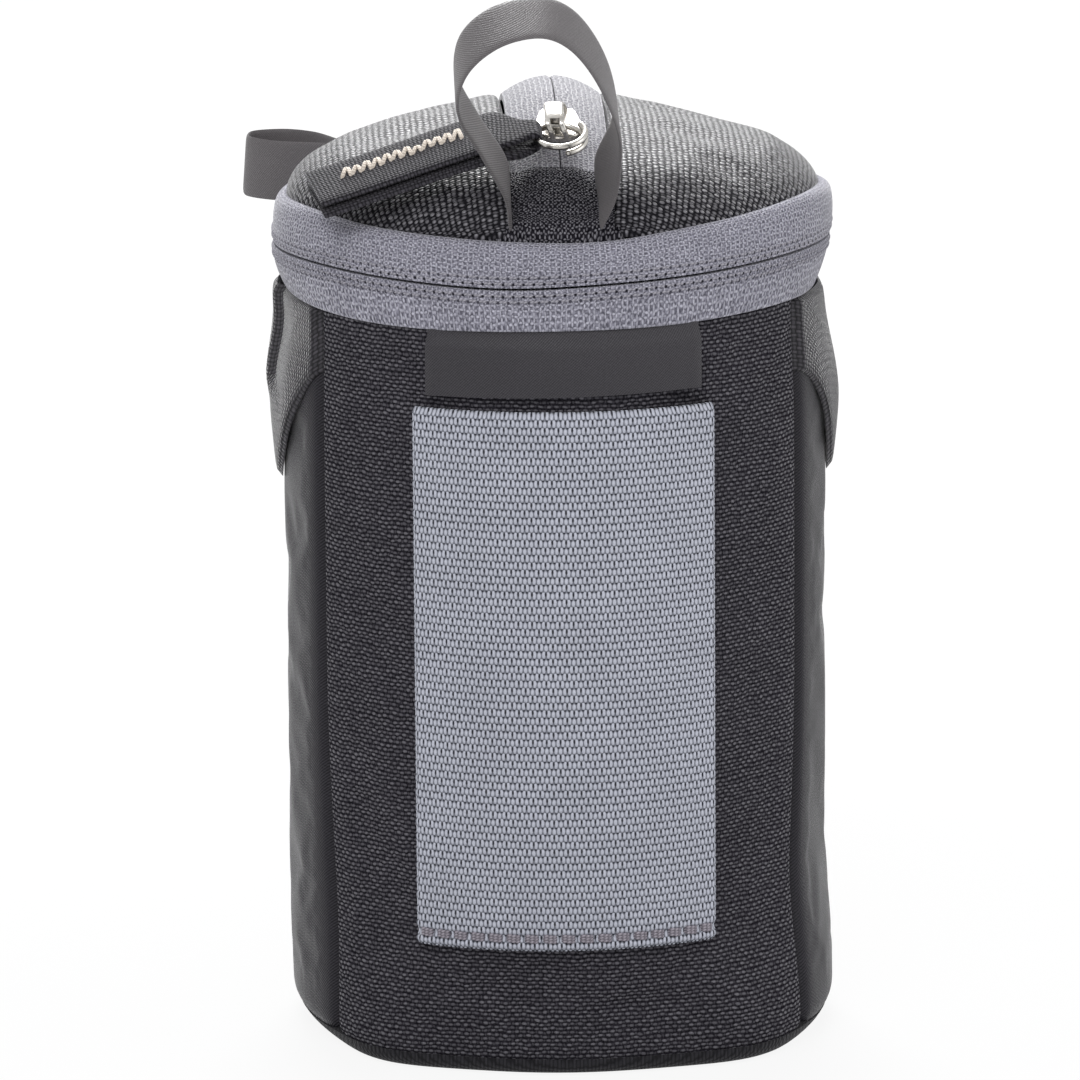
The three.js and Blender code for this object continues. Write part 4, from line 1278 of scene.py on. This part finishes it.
# Pulls: reach and drop of the crown one and its path in shares of these, then the path of the rim one
CROWN_REACH, CROWN_DROP = 37.9, 9.6
CROWN_PATH = ((0.27, -0.03), (0.45, 0.2), (0.64, 0.48), (0.83, 0.76), (1, 1))
RIM_PATH = ((10, 0.1), (18, 0.0), (26, -0.1), (33.5, -0.1))


class ZipFrame:
    """Where a slider sits: u along the zip, v across it, w out of it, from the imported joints."""

    def __init__(self, zip_name, side):
        self.eye = joint_place(zip_name + "_ring_swing")
        self.v = -joint_axis(zip_name + "_ring_swing")
        self.u = joint_axis(zip_name + "_pull_swing") * side
        self.w = np.cross(self.u, self.v)
        self.side = side
        self.fold = joint_place(zip_name + "_pull_swing") - self.eye
        lead = self.fold - self.v * (self.fold @ self.v)
        self.ring_r = np.linalg.norm(lead)
        self.ring_out = lead / self.ring_r

    def at(self, u, v, w):
        """Points from coordinates with the origin at the ring's eye."""
        parts = np.broadcast_arrays(*[np.asarray(part, float) for part in (u, v, w)])
        return self.eye + sum(part[..., None] * way for part, way in zip(parts, (self.u, self.v, self.w)))


def mirrored(half):
    """Closed outline from one side of it."""
    other = [(u, -v) for u, v in half]
    return [(u + SHIELD_SHIFT, v) for u, v in [other[0], *half, *other[:0:-1]]]


def bevelled(name, outline, low, high, zip_frame, bevel):
    """Plate with rounded edges from an outline along u and v."""
    shape = bmesh.new()
    face = shape.faces.new([shape.verts.new(Vector((u, v, low))) for u, v in outline])
    raised = bmesh.ops.extrude_face_region(shape, geom=[face])
    for vert in [item for item in raised["geom"] if isinstance(item, bmesh.types.BMVert)]:
        vert.co.z = high
    bmesh.ops.recalc_face_normals(shape, faces=shape.faces)
    bmesh.ops.bevel(shape, geom=shape.edges[:], offset=bevel, segments=3, affect="EDGES", clamp_overlap=True)
    shape.verts.index_update()
    points = np.array([vert.co[:] for vert in shape.verts])
    faces = [[vert.index for vert in face.verts] for face in shape.faces]
    shape.free()
    return make(name, zip_frame.at(*points.T), faces, points[:, :2], NICKEL, SHARP_METAL)


def slider(name, zip_frame, seat, lean):
    """Slider body: shield-shaped plates joined by a neck, with a forked bail that may lean to one side."""
    parts = [bevelled(name + end, mirrored(half), seat + low, seat + high, zip_frame, bevel)
             for end, half, low, high, bevel in SLIDER_PLATES]
    arch = spline([(u, seat + w) for u, w in BAIL_ARCH], 40)
    for v, width, first, last in BAIL_PARTS:
        u, w = arch[first:last].T
        line = zip_frame.at(u, v - lean * ease(w - seat - 1.0, 0.4, 2.2), w)
        across = np.tile(zip_frame.v, (last - first, 1))
        parts.append(band(name + "_bail", line, across, width, BAIL_THICKNESS, NICKEL, 13, roundness=5))
    return join(name, parts)


def wire_ring(name, zip_frame):
    """Ring of round wire wound one turn and a third, so that its ends lie side by side."""
    angle = np.radians(np.linspace(RING_START, RING_END, (RING_END - RING_START) // 4))[:, None]
    normal = np.cross(zip_frame.ring_out, zip_frame.v)
    climb = (angle - math.radians((RING_START + RING_END) / 2)) / (2 * math.pi) * RING_PITCH
    way = (1 - np.cos(angle)) * zip_frame.ring_out - np.sin(angle) * zip_frame.v
    line = zip_frame.eye + zip_frame.ring_r * way + normal * climb
    return threads(name, [line], RING_WIRE, NICKEL, sides=12)


def pull_strap(name, body, node, zip_frame, path, oblique, splay):
    """Webbing folded over the ring and laid double, with a zigzag seam.

    The path gives distance out and height from the ring's eye. The ends are cut oblique, and the layer below
    may splay along the zip.
    """
    side = zip_frame.side
    lead, rise = zip_frame.fold @ zip_frame.u, zip_frame.fold @ zip_frame.w
    start = zip_frame.ring_r
    middle = spline([(start + 1.0, rise), *path], LAYER)
    tangent = unit(np.gradient(middle, axis=0))
    normal = np.stack([-tangent[:, 1], tangent[:, 0]], axis=1)
    spread = LAYER_HALF + NECK_OPENING * np.exp(-np.linspace(0, 15, LAYER))
    upper = middle + normal * spread[:, None]
    lower = middle - normal * spread[:, None]
    wrap = np.linspace(-math.pi / 2, -3 * math.pi / 2, FOLD_STEPS + 2)[1:-1]
    fold = np.stack([start + 0.4 + FOLD_R * np.cos(wrap), rise + FOLD_R * np.sin(wrap)], axis=1)
    line = np.vstack([lower[::-1], fold, upper])
    run = lengths_along(line)
    fold_run = run[LAYER + FOLD_STEPS // 2]
    from_ring = np.abs(run - fold_run)
    width = STRAP_NECK + (STRAP_WIDTH - STRAP_NECK) * ease(from_ring, 1.0, 8.5)
    under = np.arange(len(line)) < LAYER
    aside = np.where(under, splay * ease(from_ring, 0, 7), 0.0) - 0.6 * (1 - ease(from_ring, 0, 6))
    points = zip_frame.at(lead + aside, side * line[:, 0], line[:, 1])
    across = np.tile(zip_frame.u * side, (len(points), 1))
    skew = np.where(under, -oblique, oblique) * ease(from_ring, 8, 34)

    def gather(u, v):
        return 0.12 * np.sin(u * 4.2) * bell(v, fold_run, 6)

    strap = band(name, points, across, width, STRAP_THICKNESS, BLACK_WEBBING, 21, relief=gather, skew=skew)
    rng = np.random.default_rng(3)
    nodes = resample(upper[int(LAYER * ZIGZAG[0]):int(LAYER * ZIGZAG[1])], ZIGZAG_POINTS)
    swing = np.where(np.arange(ZIGZAG_POINTS) % 2 == 0, ZIGZAG_SWING, -ZIGZAG_SWING)
    swing = swing + rng.normal(0, ZIGZAG_NOISE, ZIGZAG_POINTS)
    lines = []
    for step in range(ZIGZAG_POINTS - 1):
        out, height = np.linspace(nodes[step], nodes[step + 1], len(ZIGZAG_LIFT)).T
        u = lead - 1.2 + np.linspace(swing[step], swing[step + 1], len(ZIGZAG_LIFT))
        for ply in ZIGZAG_PLIES:
            w = height + ZIGZAG_LIFT + rng.uniform(-0.06, 0.06)
            lines.append(zip_frame.at(u, side * (out + ply), w))
    place(strap, body, "black_webbing", node)
    place(threads(name + "_zigzag", lines, 0.24, BEIGE_THREAD), body, "black_webbing")


crown = ZipFrame("crown", -1)
rim = ZipFrame("rim", 1)
crown_metal = slider("crown_slider_metal", crown, seat=-2.44, lean=0.7)
rim_metal = slider("rim_slider_metal", rim, seat=-2.94, lean=0.0)
place(crown_metal, "crown_slider", "nickel", "crown_slider_body")
place(rim_metal, "rim_slider", "nickel", "rim_slider_body")
place(wire_ring("crown_wire", crown), "crown_ring", "nickel", "crown_pull_ring")
place(wire_ring("rim_wire", rim), "rim_ring", "nickel", "rim_pull_ring")
crown_path = [(CROWN_REACH * out, -CROWN_DROP * down) for out, down in CROWN_PATH]
pull_strap("crown_strap", "crown_pull", "crown_pull_strap", crown, crown_path, oblique=1.4, splay=1.5)
pull_strap("rim_strap", "rim_pull", "rim_pull_strap", rim, RIM_PATH, oblique=0.0, splay=0.0)

# Floor, light and camera, in metres
FLOOR_HALF = 4.0
FLOOR_COLOUR = (0.6, 0.6, 0.605, 1.0)
FLOOR_WHITE = 0.9
AMBIENT = 0.56
# Lamps: name, place, aim, size and power
LAMPS = (("key", (-0.25, -0.8, 0.95), (0, 0, 0.07), 0.6, 5.5),
         ("fill", (0.95, -0.3, 0.6), (0, 0, 0.07), 0.8, 2.0),
         ("rear", (0.0, 0.9, 0.75), (0, 0, 0.1), 0.6, 18.5))
# The photograph's camera: far away with a long lens
CAMERA_TURN = math.radians(-2.11)
CAMERA_AWAY = 1.4
CAMERA_UP = 0.38203
CAMERA_YAW = math.radians(0.10)
CAMERA_PITCH = math.radians(12.30)
CAMERA_ROLL = math.radians(-0.40)
LENS = 299.916


def seen_share(tree):
    """1 for rays that the camera sees, straight, mirrored or passed through; 0 for light on the cloth."""
    path = tree.nodes.new("ShaderNodeLightPath")
    share = path.outputs["Is Camera Ray"]
    for kind in ("Is Glossy Ray", "Is Transmission Ray"):
        larger = tree.nodes.new("ShaderNodeMath")
        larger.operation = "MAXIMUM"
        tree.links.new(share, larger.inputs[0])
        tree.links.new(path.outputs[kind], larger.inputs[1])
        share = larger.outputs[0]
    return share


def studio_floor():
    """Pale floor that looks nearly white to the camera and keeps the object's shadow."""
    g = Graph("floor_paper")
    g.finish(FLOOR_COLOUR, 0.9)
    mix = g.node("ShaderNodeMixShader")
    g.put(mix.inputs[0], g.times(seen_share(g.tree), FLOOR_WHITE))
    g.put(mix.inputs[1], g.shader.outputs[0])
    g.put(mix.inputs[2], g.node("ShaderNodeEmission").outputs[0])
    g.put(g.out.inputs[0], mix.outputs[0])
    mesh = bpy.data.meshes.new("floor")
    signs = ((-1, -1), (1, -1), (1, 1), (-1, 1))
    mesh.from_pydata([(x * FLOOR_HALF, y * FLOOR_HALF, 0) for x, y in signs], [], [(0, 1, 2, 3)])
    mesh.materials.append(g.material)
    link("floor", mesh)


def studio_world():
    """White backdrop, with a plain level of light all round."""
    world = bpy.data.worlds.new("studio")
    bpy.context.scene.world = world
    world.use_nodes = True
    tree = world.node_tree
    tree.nodes.clear()
    mix = tree.nodes.new("ShaderNodeMixShader")
    tree.links.new(seen_share(tree), mix.inputs[0])
    for socket, strength in zip(mix.inputs[1:], (AMBIENT, 1.0)):
        light = tree.nodes.new("ShaderNodeBackground")
        light.inputs["Strength"].default_value = strength
        tree.links.new(light.outputs[0], socket)
    tree.links.new(mix.outputs[0], tree.nodes.new("ShaderNodeOutputWorld").inputs[0])


def lamp(name, spot, aim, size, power):
    light = bpy.data.lights.new(name, "AREA")
    light.shape = "SQUARE"
    light.size = size
    light.energy = power
    obj = link(name, light)
    obj.location = spot
    obj.rotation_euler = (Vector(aim) - Vector(spot)).to_track_quat("-Z", "Y").to_euler()


def photo_camera():
    spot = Vector((math.sin(CAMERA_TURN) * CAMERA_AWAY, -math.cos(CAMERA_TURN) * CAMERA_AWAY, CAMERA_UP))
    level_ahead = Vector((-math.sin(CAMERA_TURN), math.cos(CAMERA_TURN), 0))
    level_ahead.rotate(Matrix.Rotation(CAMERA_YAW, 3, "Z"))
    right = Vector((level_ahead.y, -level_ahead.x, 0))
    ahead = level_ahead * math.cos(CAMERA_PITCH) - Vector((0, 0, math.sin(CAMERA_PITCH)))
    upward = level_ahead * math.sin(CAMERA_PITCH) + Vector((0, 0, math.cos(CAMERA_PITCH)))
    right, upward = (right * math.cos(CAMERA_ROLL) + upward * math.sin(CAMERA_ROLL),
                     upward * math.cos(CAMERA_ROLL) - right * math.sin(CAMERA_ROLL))
    data = bpy.data.cameras.new("photo_camera")
    data.sensor_width = 36.0
    data.lens = LENS
    camera = link("photo_camera", data)
    camera.matrix_world = Matrix.Translation(spot) @ Matrix((right, upward, -ahead)).transposed().to_4x4()
    bpy.context.scene.camera = camera


studio_floor()
studio_world()
for row in LAMPS:
    lamp(*row)
photo_camera()
bpy.context.scene.view_settings.view_transform = "Standard"
